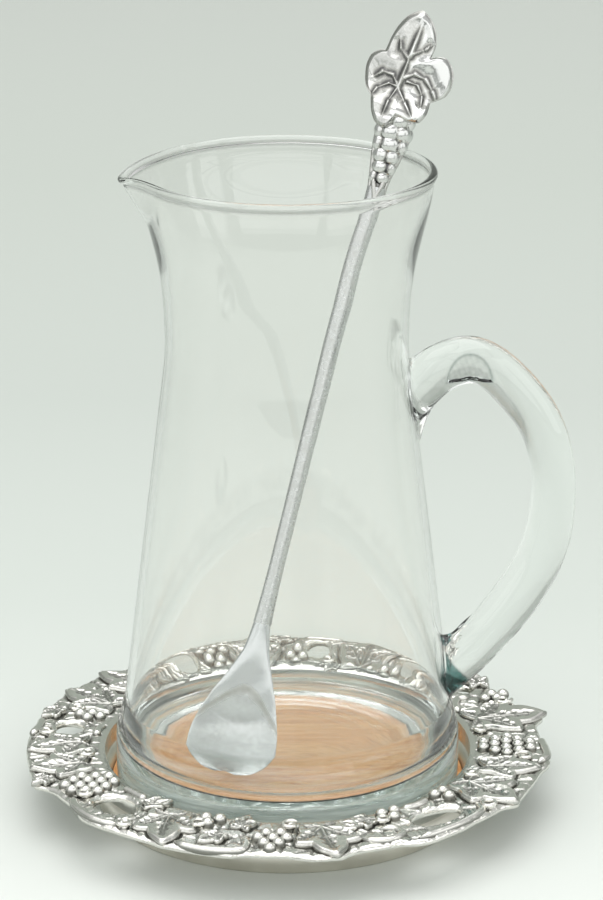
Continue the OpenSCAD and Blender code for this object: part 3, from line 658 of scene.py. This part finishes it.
swell = add(
    vine_tree, "ShaderNodeMath", {0: knots, 1: given.outputs["Knots"], 2: 0.92}, operation="MULTIPLY_ADD")
size = add(vine_tree, "ShaderNodeMath", {0: taper, 1: swell}, operation="MULTIPLY")
half = add(vine_tree, "ShaderNodeMath", {0: given.outputs["Width"], 1: 0.5}, operation="MULTIPLY")
thick = add(vine_tree, "GeometryNodeSetCurveRadius", {"Curve": evenly, "Radius": size})
round_cut = add(vine_tree, "GeometryNodeCurvePrimitiveCircle", {"Resolution": given.outputs["Sides"], "Radius": half})
swept = add(vine_tree, "GeometryNodeCurveToMesh", {
    "Curve": thick, "Profile Curve": round_cut, "Scale": size, "Fill Caps": True})
closing(vine_tree, given, swept, out)


def strands(name, lines, width_m, material):
    """A piece of strands along lines of points in millimetres."""
    points, edges = [], []
    for line in lines:
        edges += [(len(points) + k, len(points) + k + 1) for k in range(len(line) - 1)]
        points += list(line)
    return grown(name, solid(name + "_lines", points, [], material, edges), vine_tree, material, Width=width_m)


lines = [[on_rim(turn, place, -0.1) for turn, place in vine] for vine in vines]
rim_canes = strands("rim_vines_casting", lines, 0.0036, rim_metal)
# Tendrils that curl in the gaps: direction, place across the rim, size in mm, and turn of their start
curls = [
    (24, 0.78, 3.2, 20), (57, 0.86, 3.0, 200), (78, 0.34, 2.6, 80), (107, 0.78, 3.0, 140), (118, 0.16, 2.4, 10),
    (131, 0.72, 3.0, 250), (144, 0.2, 2.6, 60), (160, 0.62, 2.6, 320), (175, 0.8, 3.2, 100), (189, 0.24, 2.8, 200),
    (213, 0.66, 2.8, 30), (232, 0.86, 2.6, 150), (247, 0.36, 3.0, 280), (271, 0.2, 2.8, 40), (286, 0.36, 3.2, 120),
    (296, 0.3, 2.6, 220), (322, 0.84, 3.2, 300), (336, 0.2, 2.8, 90), (350, 0.72, 3.0, 180), (8, 0.16, 2.6, 240)]
lines = []
for number, (turn, place, size, start) in enumerate(curls):
    t = np.linspace(0, 1, 22)
    swing = np.radians(start + 470 * t * (1 if number % 2 else -1))
    reach = size * (1.15 - 0.85 * t)
    middle = on_rim(turn, place)
    x, y = middle[0] + reach * np.cos(swing), middle[1] + reach * np.sin(swing)
    lines.append(np.stack([x, y, rim_h(np.hypot(x, y)) + 1.5 - 0.6 * t], 1))
rim_tendrils = strands("rim_tendrils_casting", lines, 0.0017, rim_metal)
for piece in (rim_canes, rim_tendrils):
    spots = spots_of(piece) * 1000
    above = spots[:, 2] - rim_h(np.linalg.norm(spots[:, :2], axis=1))
    mark(piece, "polish", smooth((above + 0.2) / 1.6))
    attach(piece, "coaster")
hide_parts("rim_vines")


# Pitcher body
# One gather of clear soda-lime glass, blown in a mould and cut off at the mouth, where a flame then drew up
# the bead and a tool pulled the spout. The base is left thick and a little hollow underneath.

glass_base = 8.0
body_h, foot_r, band_h, flare_r, flare_h = 238, 66, 15, 62.2, 34
waist_h, waist_r, rim_r, bead_t, wall_t = 170, 45.2, 53.6, 3.2, 2.6
spout_out, spout_h, spout_dip = 9, 22, 4.7


def taper_r(h):
    """Radius of the straight taper at a height over the foot."""
    return flare_r + (waist_r - flare_r) * (h - flare_h) / (waist_h - flare_h)


def body_r(h):
    """Outer radius at a height over the foot, away from the spout."""
    h = np.asarray(h, dtype=float)
    flare = foot_r + (taper_r(h) - foot_r) * smooth((h - band_h) / (flare_h - band_h))
    neck = waist_r + (rim_r - waist_r) * smooth(np.clip((h - waist_h) / (body_h - waist_h), 0, 1) ** 1.6)
    return np.where(h < band_h, foot_r, np.where(h < flare_h, flare, np.where(h < waist_h, taper_r(h), neck)))


def drawn(radius, h, angle):
    """Radius with the spout drawn out, angle in degrees from the spout."""
    share = max(0.0, 1 - (body_h - h) / spout_h) ** 1.25
    tip = radius + spout_out * share + 0.05
    touch = np.degrees(np.arccos(radius / tip))
    off = np.sqrt(angle ** 2 + (0.14 * touch) ** 2)
    return radius / np.cos(np.radians(np.maximum(0, touch - off))), share


def blown_r(h):
    """The same radius with the crease at the waist as soft as it comes out of the mould."""
    return np.mean([body_r(h + d) for d in np.linspace(-5, 5, 11)]) if h < body_h - 6 else body_r(h)


def wall_at(h):
    """Thickness of the wall, which was blown thinner towards the mouth."""
    return wall_t - 0.9 * smooth((h - 200) / 34)


def blown_out(h):
    """Outer radius of the finished wall."""
    return blown_r(h) + 0.4 * smooth((h - 200) / 34)


def chilled(h):
    """Faint rings round the foot, where the mould chilled the glass."""
    return 0.05 * math.sin(h * 2.1) * math.sin(h * 0.9 + 1) * (smooth((h - 3) / 4) * smooth((14.5 - h) / 4))


heights = np.concatenate([
    np.linspace(flare_h, 158, 30), np.linspace(158, 182, 19)[1:], np.linspace(182, 236.2, 36)[1:]])
profile = [(0, 0.9), (40, 0.8), (56, 0.5), (60, 0.12), (62.5, 0), (64.4, 0.1), (65.3, 0.6), (65.85, 1.4), (65.95, 2.4)]
profile += [(65.95 + chilled(h), h) for h in np.linspace(3, 14.4, 24)]
profile += [(body_r(h) + chilled(h), h) for h in np.linspace(band_h, flare_h, 34)[:-1]]
profile += [(blown_out(h) + chilled(h), h) for h in heights]
# The bead of the mouth
bead = [math.radians(t) for t in range(-64, 222, 13)]
profile += [(rim_r - 0.15 + bead_t / 2 * math.cos(t), body_h + bead_t / 2 * math.sin(t)) for t in bead]
# The inside, from the bead down
profile += [(blown_out(h) - wall_at(h), h) for h in heights[::-1]] + [(taper_r(h) - wall_t, h) for h in (30, 26)]
# The corner of the floor is as round as the breath left it, and the floor has faint rings near its edge
corner_w, corner_h, floor_h = 13.5, 9.5, 12.2
low = taper_r(floor_h + corner_h) - wall_t
corner = [math.radians(t) for t in range(0, 91, 5)]
profile += [(low - corner_w * (1 - math.cos(t)), floor_h + corner_h * (1 - math.sin(t))) for t in corner]
for r in np.linspace(low - corner_w - 0.8, 0, 60):
    domed = 0.5 * (1 - (r / (low - corner_w)) ** 2)
    profile.append((r, floor_h + domed + 0.04 * math.cos(r * 1.3) * smooth((r - 20) / 12)))
# Columns stand closer together round the spout
t = np.linspace(-1, 1, 289)[:-1]
angle = 180 * (0.35 * t + 0.65 * np.sign(t) * np.abs(t) ** 2.4)
turn = np.radians(angle + 180)
out_there, _ = drawn(rim_r, body_h, np.abs(angle))
points = [[0, 0, glass_base + profile[0][1]]]
for r, h in profile[1:-1]:
    drawn_out, share = drawn(max(r, 1e-3), h, np.abs(angle))
    dip = spout_dip * np.maximum(0, (out_there - rim_r) / spout_out) ** 1.6 * share
    points += np.stack([drawn_out * np.cos(turn), drawn_out * np.sin(turn), glass_base + h - dip], 1).tolist()
points.append([0, 0, glass_base + profile[-1][1]])


# Clear soda-lime glass, fire polished: refraction index 1.52, with the green of its iron only where it is
# centimetres thick. Lamps shine through it onto the wood and the coaster.
def clear_glass(name, waves_mm, green):
    made, tree, place = material_of(name)
    drawn_lines = add(tree, "ShaderNodeTexNoise", {"Vector": place, "Scale": 1000 / waves_mm, "Detail": 1.0})
    ripple = add(tree, "ShaderNodeBump", {"Height": drawn_lines, "Strength": 0.12, "Distance": 0.0004})
    # Painted shade: the attribute thick marks where a dark green tint is painted into the glass's colour, in place of
    # the dark edges that the glass shows there
    thick = add(tree, "ShaderNodeAttribute", {}, attribute_name="thick")
    painted_dark_tint = add(tree, "ShaderNodeMix", {
        0: thick.outputs["Fac"], 6: linear("fdfdfc"), 7: linear("1f4a47")}, data_type="RGBA")
    # Painted light: the attribute edge marks the foot, whose thick edge is given a pale colour in streaks in place of
    # part of its clearness, a painted glow for the light caught inside
    edge = add(tree, "ShaderNodeAttribute", {}, attribute_name="edge")
    flat_place = add(tree, "ShaderNodeVectorMath", {0: place, 1: (30, 30, 420)}, operation="MULTIPLY")
    streaks = add(tree, "ShaderNodeTexNoise", {"Vector": flat_place, "Scale": 1.0, "Detail": 3.0})
    painted_glow_streaks = add(tree, "ShaderNodeMath", {0: streaks, 1: edge.outputs["Fac"]}, operation="MULTIPLY")
    clear = add(tree, "ShaderNodeMapRange", {
        "Value": painted_glow_streaks, "From Min": 0.17, "From Max": 0.72, "To Min": 1.0, "To Max": 0.4})
    pale = add(tree, "ShaderNodeMix", {
        0: edge.outputs["Fac"], 6: painted_dark_tint.outputs[2], 7: linear("dfe8e4")}, data_type="RGBA")
    glass = add(tree, "ShaderNodeBsdfPrincipled", {
        "Base Color": pale.outputs[2], "Roughness": 0.0, "IOR": 1.52, "Transmission Weight": clear, "Normal": ripple})
    rays = add(tree, "ShaderNodeLightPath", {})
    through = add(tree, "ShaderNodeBsdfTransparent", {"Color": linear("f2f7f5")})
    both = add(tree, "ShaderNodeMixShader", {0: rays.outputs["Is Shadow Ray"], 1: glass, 2: through})
    body = add(tree, "ShaderNodeVolumeAbsorption", {"Color": linear("a8dcd2"), "Density": green})
    add(tree, "ShaderNodeOutputMaterial", {"Surface": both, "Volume": body})
    return made


body_glass = clear_glass("blown_soda_lime_glass", 30, 1.5)
vessel = solid("pitcher_body_glass", points, round_faces(len(profile) - 2, len(turn)), body_glass)
x, y, z = spots_of(vessel).T * 1000
# Painted light: the outer wall of the foot takes the painted glow in full up to 12 mm over its underside, fading out by
# 19 mm, and at half strength fading out by 42 mm
painted_glow = np.maximum(smooth((19 - (z - glass_base)) / 7), 0.5 * smooth((42 - (z - glass_base)) / 14))
mark(vessel, "edge", np.where(np.hypot(x, y) > 61, painted_glow, 0))
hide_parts("pitcher_body")
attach(vessel, "pitcher")


# Pitcher handle
# A cane of the same glass, laid on hot under the waist, drawn out, bent round and pressed on above the foot.
# Its cut is nearly round, 16 to 19 mm thick, and fullest at both welds.

def curve_through(points, steps):
    """A smooth curve through points."""
    p = np.array(points, dtype=float)
    out = []
    for i in range(len(p) - 1):
        a, b, c, d = p[max(i - 1, 0)], p[i], p[i + 1], p[min(i + 2, len(p) - 1)]
        for k in range(steps):
            t = k / steps
            out.append((
                2 * b + (c - a) * t + (2 * a - 5 * b + 4 * c - d) * t * t + (3 * b - a - 3 * c + d) * t ** 3) / 2)
    out.append(p[-1])
    return np.array(out)


def on_body(y, z):
    """A point just off the outside of the body, on the handle's side."""
    return np.stack([np.sqrt(body_r(z - glass_base) ** 2 - y ** 2) + 0.06, y, z], -1)


sides_n, rings_n = 96, 360
t = round_turns(sides_n)
# The cane's middle [x, z] with its half height and half width, from weld to weld
cane = curve_through([
    (38.1, 155.5, 9.6, 8.8), (48.2, 163.9, 9.2, 8.8), (56.5, 171.2, 9.1, 8.8), (66.6, 174.8, 8.9, 8.7),
    (75.4, 172.3, 8.4, 8.7), (84.9, 163.6, 8.6, 8.6), (93.3, 152.4, 8.4, 8.6), (98.2, 140, 8.3, 8.6),
    (100.3, 125.6, 8.15, 8.6), (99, 109.1, 8.7, 8.7), (95.2, 95.4, 8.8, 8.8), (88.4, 82.7, 9, 8.8),
    (81.2, 72.4, 8.9, 8.8), (73.6, 63.4, 8.9, 8.8), (66, 55.6, 9.2, 8.8), (58, 48.8, 9.4, 8.8),
    (49, 43, 9.4, 8.8), (40, 38, 9.4, 8.8)], 18)
run = np.gradient(cane[:, :2], axis=0)
run /= np.linalg.norm(run, axis=1)[:, None]
whole = np.stack([np.stack([p[0] - u[1] * p[2] * np.cos(t), p[3] * np.sin(t), p[1] + u[0] * p[2] * np.cos(t)], 1)
                  for p, u in zip(cane, run)])
# Each line along the cane is cut where it meets the body, so that both ends lie on the body's own surface
out_of = np.hypot(whole[..., 0], whole[..., 1]) - body_r(whole[..., 2] - glass_base) - 0.06
half = len(whole) // 2
lines = []
for j in range(sides_n):
    a = int(np.nonzero(out_of[:half, j] < 0)[0][-1])
    b = half + int(np.nonzero(out_of[half:, j] < 0)[0][0])
    a += out_of[a, j] / (out_of[a, j] - out_of[a + 1, j])
    b -= out_of[b, j] / (out_of[b, j] - out_of[b - 1, j])
    at = a + (b - a) * np.linspace(0, 1, rings_n)
    lines.append(np.stack([np.interp(at, np.arange(len(whole)), whole[:, j, n]) for n in range(3)], 1))
grid = np.stack(lines, 1)
# Pressed on hot, the glass spreads at both welds
middle = grid.mean(axis=1, keepdims=True)
from_end = np.minimum(np.arange(rings_n), np.arange(rings_n)[::-1])[:, None, None]
grid = middle + (grid - middle) * (1 + 0.08 * np.exp(-from_end / 3))
# A short tail of glass ran down under the upper weld, and over the lower weld the glass climbed the body
row = np.arange(rings_n)[:, None]
tail = 8 * bell(t - math.pi, 0.2) * bell(row, 10.0)
climb = 1.5 * bell(t - math.pi, 0.8) * bell(rings_n - 1 - row, 8.0)
x, y, z = grid[..., 0], grid[..., 1], grid[..., 2]
off_body = x - on_body(y, z)[..., 0]
z += climb - tail
moved = on_body(y, z)[..., 0] + off_body * (1 - 0.04 * (tail + climb))
x[:] = np.where(tail + climb > 0.01, moved, x)
# The tool left a half round flat on the front, and the hot glass wrinkled over the lower weld
flat_x, flat_z, flat_half_w, flat_h = 67.6, 168, 8.8, 11.6
a, b = (x - flat_x) / flat_half_w, (z - flat_z) / flat_h
in_flat = np.where(y < 0, np.minimum(b, 1 - np.hypot(a, b)), -1) * 9
ripples = np.sin(x * 2.3) * np.sin(z * 1.1 + x * 0.7)
y += smooth(in_flat) * (np.maximum(y, -6.5 + 0.1 * ripples) - y)
away = grid - grid.mean(axis=1, keepdims=True)
away /= np.linalg.norm(away, axis=2)[..., None]
fold_x, fold_z = 64, 72
folds = np.exp(-((x - fold_x) / 6) ** 2 - ((z - fold_z) / 5.5) ** 2) * np.sin(
    x * 1.9 - z * 2.3 + 1.5 * np.sin(y))
grid += away * (0.6 * folds)[..., None]
for end in (0, -1):
    grid[end] = on_body(grid[end][:, 1], grid[end][:, 2])


def cap(ring):
    """Rings that close a weld over the body's surface, from its edge to its middle, and that middle."""
    y, z = ring.mean(axis=0)[1:]
    return [on_body(y + (ring[:, 1] - y) * s, z + (ring[:, 2] - z) * s) for s in (0.75, 0.5, 0.25)], on_body(y, z)


(first, first_middle), (last, last_middle) = cap(grid[0]), cap(grid[-1])
rings = first[::-1] + list(grid) + last
points = np.concatenate(rings + [[first_middle, last_middle]])
faces, end = [], (len(rings) - 1) * sides_n
for j in range(sides_n):
    k = (j + 1) % sides_n
    faces += strip(k, j, 0, end, sides_n) + [(j, k, end + sides_n), (end + k, end + j, end + sides_n + 1)]
cane_glass = clear_glass("drawn_soda_lime_glass", 22, 3.0)
grip = solid("pitcher_handle_glass", points, faces, cane_glass)
grip.data.set_sharp_from_angle(angle=0.9)
# Painted shade: the dark green tint is painted at the bottom of the lower weld, under a slope, as a line round the
# tool's flat, and faintly in ripples over the flat
slope_x, slope_z, slope_end = 59.5, 54.3, 71
painted_shade_under_weld = smooth(slope_z - 0.63 * (x - slope_x) - z) * smooth((slope_end - x) / 1.5)
painted_shade_round_flat = 0.6 * bell(in_flat - 0.5, 0.6) + (0.16 + 0.12 * ripples) * smooth(in_flat)
cap_n = len(first) * sides_n
mark(grip, "thick", np.pad(np.maximum(painted_shade_under_weld, painted_shade_round_flat).ravel(), (cap_n, cap_n + 2)))
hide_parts("pitcher_handle")
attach(grip, "pitcher")


# Stirrer paddle
# The foot of the stirrer: a shovel-shaped plate of cast aluminium, a little dished, ground and polished by
# hand. It is cast in one with the stem, and stands on the floor of the glass.

def turn_about(axis, degrees):
    """A turn as a matrix."""
    return np.array(Matrix.Rotation(math.radians(degrees), 3, axis))


def from_axis(radius, degrees):
    """A place seen from above, at a radius round the glass's axis."""
    return radius * np.array(cos_sin(degrees))


# The paddle stands on the floor of the glass at foot, and the stem leaves the bead at head, this much higher
foot, head, rise, twist = from_axis(44.575, 237.9), from_axis(44.85, 39), 226, -53
lean_turn = math.degrees(math.atan2(*(head - foot)[::-1]))
lean_tilt = math.degrees(math.atan2(np.linalg.norm(head - foot), rise))
lean = turn_about("Z", lean_turn) @ turn_about("Y", lean_tilt) @ turn_about("Z", twist)
stem_h = math.hypot(np.linalg.norm(head - foot), rise) - 14.6
paddle_w, paddle_t, paddle_h = 33, 4.4, 60
around = round_turns(96)
# The paddle's outline from its foot up: share of its height, half width and half thickness as shares
paddle_rows = [
    (0, 0.11, 0.16), (0.008, 0.2, 0.28), (0.027, 0.3, 0.4), (0.067, 0.4, 0.48), (0.103, 0.455, 0.5), (0.16, 0.492, 0.5),
    (0.255, 0.498, 0.5), (0.35, 0.468, 0.5), (0.44, 0.42, 0.52), (0.54, 0.355, 0.56), (0.63, 0.285, 0.62),
    (0.73, 0.212, 0.74), (0.82, 0.155, 0.9), (0.89, 0.128, 1.0), (0.94, 0.112, 1.07), (1, 0.0985, 1.1136)]


def paddle_ring(share, half_w, half_t):
    """A ring of the paddle: a lens across the stem, bowed back in its middle, with the stem's round end on it."""
    c, s = np.cos(around), np.sin(around)
    bow = 2.7 * smooth(2 * (1 - share))
    tongue = 1.1 * smooth((share - 0.34 - 0.16 * c ** 2) / 0.2) * (1 - smooth((share - 0.72) / 0.25))
    across = half_w * paddle_w * c + 0.5 * smooth((share - 0.4) / 0.3) * (1 - smooth((share - 0.8) / 0.2))
    through = half_t * (paddle_t / 2) * s + bow * (0.5 - c ** 2) + tongue * np.minimum(0, s)
    return np.stack([across, through, 0 * c + share * paddle_h], 1)


# The flat end of the cast blank is 22.4 mm wide: its lower corner sets how high the leaning stirrer stands
t = np.arange(20) * math.pi / 10
c, s = cos_sin(twist)
end_x, end_y = 11.22 * np.cos(t), 0.66 * np.sin(t) + 2.4 * (0.5 - np.cos(t) ** 2)
end_drop = max(math.sin(math.radians(lean_tilt)) * (end_x * c - end_y * s))
glass_floor_h = 20.35


def leant(points):
    """Points of the stirrer, drawn upright, as it leans in the glass."""
    return np.asarray(points) @ lean.T + np.array([foot[0], foot[1], glass_floor_h + end_drop])


def cast(name, rings, metal):
    """A piece of the stirrer over a stack of rings of the same count, closed at both ends."""
    n, m = len(rings[0]), len(rings)
    faces = [tuple(range(n))[::-1], tuple((m - 1) * n + k for k in range(n))]
    for i in range(m - 1):
        faces += [(i * n + j, i * n + (j + 1) % n, (i + 1) * n + (j + 1) % n, (i + 1) * n + j) for j in range(n)]
    made = solid(name, leant(np.concatenate(rings)), faces, metal)
    made.data.set_sharp_from_angle(angle=0.9)
    return made


stirrer_metal = cast_aluminium("hand_polished_cast_aluminium", 1.6, "8a8b8b", "cbcecf", 0.24, 0.03)
table = curve_through(paddle_rows, 10)
rings = [paddle_ring(*row) for row in table]
paddle = cast("stirrer_paddle_casting", rings, stirrer_metal)
# Painted reflection and shade: the lower half is given less polish, so it is darker and duller, up to an arch with a
# darker painted line
over_arch = np.concatenate([row[0] - 0.58 + 0.22 * np.cos(around) ** 2 for row in table])
mark(paddle, "polish", 0.77 + 0.18 * smooth(over_arch / 0.08) - 0.3 * bell(over_arch, 0.035))
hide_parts("stirrer_paddle")
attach(paddle, "stirrer")


# Stirrer stem
# A round rod of the same casting that thickens from paddle to head, filed and polished along its length, so
# it isn't quite even. It leans against the bead of the glass.

stem_foot_d, stem_head_d, head_shift, uneven = 4.9, 7, 2.3, 0.012
rings, t = [], round_turns(48)
for share in np.linspace(0, 1, 60):
    h = paddle_h + (stem_h - paddle_h) * share
    r = (stem_foot_d + (stem_head_d - stem_foot_d) * share) / 2
    r = r * (1 - uneven + uneven * math.sin(share * 37) * math.sin(share * 11))
    shift = head_shift * smooth((share - 0.62) / 0.38)
    # Filed a little flat on four sides, and wider across just over the paddle
    r = r * 1.03 / (np.abs(np.cos(t + 0.5)) ** 2.7 + np.abs(np.sin(t + 0.5)) ** 2.7) ** (1 / 2.7) / 1.04
    neck = 1 + 0.34 * math.exp(-(h - paddle_h) / 13)
    rings.append(np.stack([shift + neck * r * np.cos(t), r * np.sin(t), h + 0 * t], 1))
stem = cast("stirrer_stem_casting", rings, stirrer_metal)
mark(stem, "polish", 0.66)
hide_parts("stirrer_stem")
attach(stem, "stirrer")


# Stirrer grapes
# A long bunch cast round the top of the stem. The berries are full at its head and small at its foot, and a
# sheath runs up both its sides.

finial_metal = cast_aluminium("polished_cast_aluminium_dark_in_recesses", 0.8, "565656", "d2d3d1", 0.12, 0.15)
bunch_h = 29.0
core_rows = [
    (0, 3.1), (0.05, 3.1), (0.14, 3.0), (0.28, 3.4), (0.43, 4.0), (0.58, 4.7), (0.74, 5.2), (0.9, 5.1), (1, 3.4)]


def core_r(share):
    """Half width of the core that carries the berries."""
    return np.interp(share, *np.transpose(core_rows))


def bunch_x(share):
    """Middle of the bunch, which leans to the right towards its head."""
    return head_shift + 1.1 * smooth(share / 0.9)


rings, t = [], round_turns(40)
for share in np.linspace(0, 1, 40):
    x, y = bunch_x(share) + core_r(share) * np.cos(t), 0.7 * core_r(share) * np.sin(t)
    rings.append(np.stack([x, y, stem_h + share * bunch_h + 0 * t], 1))
core = cast("stirrer_bunch_core", rings, finial_metal)
mark(core, "polish", 0.2)
places, sizes = [], []
# Rings of berries: place up the bunch, count and size
berry_rings = [
    (0.13, 4, 1.12), (0.27, 4, 1.3), (0.42, 5, 1.42), (0.57, 5, 1.54), (0.73, 6, 1.58), (0.89, 6, 1.52)]
for i, (share, count, size) in enumerate(berry_rings):
    for k in range(count):
        turn = 2 * math.pi * (k + 0.25 + i * 0.5) / count
        r = core_r(share) - 1.4
        places.append([bunch_x(share) + r * math.cos(turn), r * 0.65 * math.sin(turn), stem_h + share * bunch_h])
        sizes.append(size)
fruit = berries("stirrer_grapes_casting", leant(places), sizes, finial_metal, 9)
centres = leant(places) / 1000
axis = leant([[bunch_x((p[2] - stem_h) / bunch_h), 0, p[2]] for p in places]) / 1000
spots = spots_of(fruit)
which = berry_at(spots, centres)
out_way = centres[which] - axis[which]
out_way /= np.linalg.norm(out_way, axis=1)[:, None]
mark(fruit, "polish", 0.84 * smooth((((spots - centres[which]) * out_way).sum(1) - 0.0006) / 0.0013))
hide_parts("stirrer_grapes")
# The sheath of the bunch: two rails that run up its sides, and a small fork under the lowest berry
wide = [(-0.3, 3.3), (0, 3.3), (0.14, 3.8), (0.28, 4.6), (0.43, 5.5), (0.58, 6.2), (0.78, 6.7)]
lines = []
for sign in (-1, 1):
    share = np.linspace(-0.3, 0.78, 26)
    side = np.interp(share, *np.transpose(wide)) - 0.5
    lines.append(leant(np.stack([bunch_x(share) + sign * side, -0.4 + 0 * share, stem_h + share * bunch_h], 1)))
    share = np.linspace(-0.2, 0.1, 12)
    side = 2.2 * smooth((share + 0.2) / 0.36)
    front = -np.sqrt(3.1 ** 2 - side ** 2)
    lines.append(leant(np.stack([bunch_x(share) + sign * side, front, stem_h + share * bunch_h], 1)))
sheath = strands("stirrer_bunch_sheath", lines, 0.0019, finial_metal)
mark(sheath, "polish", 0.55)
for piece in (fruit, core, sheath):
    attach(piece, "stirrer")


# Stirrer leaf
# The vine leaf at the head of the stirrer, cast in one with the bunch, with raised veins in front and a plain
# back.

head_leaf = leaf_edge([
    [0, 1.03], [11, 0.91], [19, 0.79], [27, 0.67], [36, 0.56], [42, 0.51], [50, 0.55], [63, 0.58], [76, 0.56],
    [93, 0.52], [108, 0.48], [124, 0.42], [136, 0.45], [148, 0.5], [162, 0.56], [176, 0.58], [187, 0.4], [199, 0.42],
    [213, 0.48], [226, 0.54], [238, 0.52], [252, 0.46], [258, 0.44], [266, 0.51], [274, 0.6], [284, 0.66],
    [297, 0.71], [308, 0.73], [318, 0.71], [325, 0.62], [329, 0.52], [334, 0.69], [342, 0.83], [350, 0.94],
    [360, 1.03]], 5, mirrored=False)
root = (-0.05, -0.04)
# Raised veins: half width, and the points that each follows
ribs = [
    (0.034, [root, (0.0, 0.4), (0.06, 0.9)]), (0.02, [(-0.02, 0.36), (-0.15, 0.45), (-0.19, 0.6)]),
    (0.014, [(0.02, 0.42), (0.18, 0.54), (0.26, 0.66)]), (0.024, [root, (-0.16, 0.09), (-0.31, 0.09), (-0.42, -0.03)]),
    (0.018, [root, (-0.18, -0.03), (-0.31, -0.125), (-0.35, -0.26)]), (0.018, [root, (-0.1, -0.24), (-0.11, -0.46)]),
    (0.026, [root, (0.0, 0.1), (0.13, 0.19), (0.29, 0.165), (0.42, 0.04), (0.5, -0.07)]),
    (0.016, [(0.05, 0.06), (0.2, 0.06), (0.3, -0.06), (0.34, -0.2)]), (0.02, [root, (0.12, -0.2), (0.28, -0.36)])]
veins = [(a, b, wide) for wide, line in ribs for a, b in zip(line, line[1:])]
shape, tiles, shine = leaf_mesh(240, 50, 3.6, head_leaf, veins, 0.2, 0.32)
leaf_l, lobes_l = 28, 31
x, y, up = shape.T
across, along = (x - 0.08 * np.maximum(y, 0)) * leaf_l, np.where(y > 0, leaf_l, lobes_l) * y - 1.7
# Its lower lobes hang forward over the bunch
forward = 6.2 * smooth((-along - 3) / 9)
# Its left half is folded back along the midrib
folded = 0.42 * np.maximum(-across - 1, 0)
# It is tilted a little to the right
c, s = cos_sin(-6)
upright = np.stack([
    head_shift + across * c - along * s, 1.7 - up - forward + folded,
    stem_h + bunch_h + 0.42 * 28.4 + across * s + along * c], 1)
crest = solid("stirrer_leaf_casting", leant(upright), tiles, finial_metal)
# Painted shade: the left half of the leaf is given less polish, so it is darker
mark(crest, "polish", shine * (1 - 0.3 * smooth((0.02 - x) / 0.06)))
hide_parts("stirrer_leaf")
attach(crest, "stirrer")


# Floor, lamps and camera
# A pale grey-green sweep of paper, large soft lamps overhead, in front and at both sides, and a long lens that
# looks down by 18.7 degrees from 1.2 m.

# The paper runs back 3 m, bends up round a 0.9 m radius, and goes on up the wall
sweep = [(200 * k - 2200, 0) for k in range(27)]
for k in range(1, 14):
    a = k / 13 * math.pi / 2
    sweep.append((3000 + 900 * math.sin(a), 900 - 900 * math.cos(a)))
sweep.append((3900, 3600))
points = [(x, y, z) for y, z in sweep for x in (-4500, 4500)]
faces = [(2 * k, 2 * k + 1, 2 * k + 3, 2 * k + 2) for k in range(len(sweep) - 1)]
paper, tree, place = material_of("pale_background_paper")
# Painted light: the paper is coloured lightest at the front, darkest about half a metre back and lighter again further
# back, in place of the lamps' fall-off
far = add(tree, "ShaderNodeSeparateXYZ", {"Vector": place})
back = add(tree, "ShaderNodeMapRange", {"Value": far.outputs["Y"], "From Min": -0.2, "From Max": 1.8})
tone = ramp(tree, back, [
    (0.05, "e0e4df"), (0.2, "cdd3cd"), (0.35, "c6ccc6"), (0.6, "cbd1ca"), (0.9, "d6dbd5")])
sheet = add(tree, "ShaderNodeBsdfPrincipled", {"Base Color": tone, "Roughness": 0.7, "Specular IOR Level": 0.2})
add(tree, "ShaderNodeOutputMaterial", {"Surface": sheet})
floor = solid("background_sweep", points, faces, paper)

world = bpy.data.worlds.new("studio")
bpy.context.scene.world = world
world.use_nodes = True
world.node_tree.nodes.clear()
# A pale room: brighter overhead than at the level of the table
tree = world.node_tree
place = add(tree, "ShaderNodeTexCoord", {}).outputs["Generated"]
level = add(tree, "ShaderNodeSeparateXYZ", {"Vector": place})
tone = ramp(tree, level.outputs["Z"], [(0.0, "c6cac6"), (0.2, "cdd1cd"), (0.5, "dcdfdc"), (0.8, "ffffff")])
shade = add(tree, "ShaderNodeBackground", {"Color": tone, "Strength": 0.75})
add(tree, "ShaderNodeOutputWorld", {"Surface": shade})


def lamp(name, place, aim, wide, tall, watts):
    """A soft box at a place in metres that faces a point."""
    data = bpy.data.lights.new(name, "AREA")
    data.shape, data.size, data.size_y, data.energy = "RECTANGLE", wide, tall, watts
    made = bpy.data.objects.new(name, data)
    made.location = place
    made.rotation_euler = (Vector(place) - Vector(aim)).to_track_quat("Z", "Y").to_euler()
    bpy.context.scene.collection.objects.link(made)


lamp("overhead", (-0.15, 0.15, 1.9), (0, 0, 0.1), 2.4, 2.0, 22)
lamp("left", (-1.5, -0.9, 0.95), (0, 0, 0.15), 1.5, 1.5, 6)
lamp("right", (1.6, -0.4, 0.8), (0, 0, 0.15), 1.1, 1.3, 4)
lamp("front", (0.3, -2.3, 1.3), (0, -0.2, 0.05), 4.2, 2.2, 29)

# The camera as fitted to the picture: its focal length is in pixels of a frame 603 wide
sensor_mm, focal_px, frame_px, looks_down = 36, 3225.8, 603, 0.3264
camera = bpy.data.objects.new("camera", bpy.data.cameras.new("camera"))
camera.data.sensor_fit = "HORIZONTAL"
camera.data.sensor_width = sensor_mm
camera.data.lens = sensor_mm * focal_px / frame_px
camera.data.clip_end = 20
camera.location = (0.0054, -1.1445, 0.5268)
camera.rotation_euler = (math.pi / 2 - looks_down, 0, 0)
bpy.context.scene.collection.objects.link(camera)
bpy.context.scene.camera = camera
bpy.context.scene.view_settings.view_transform = "Standard"
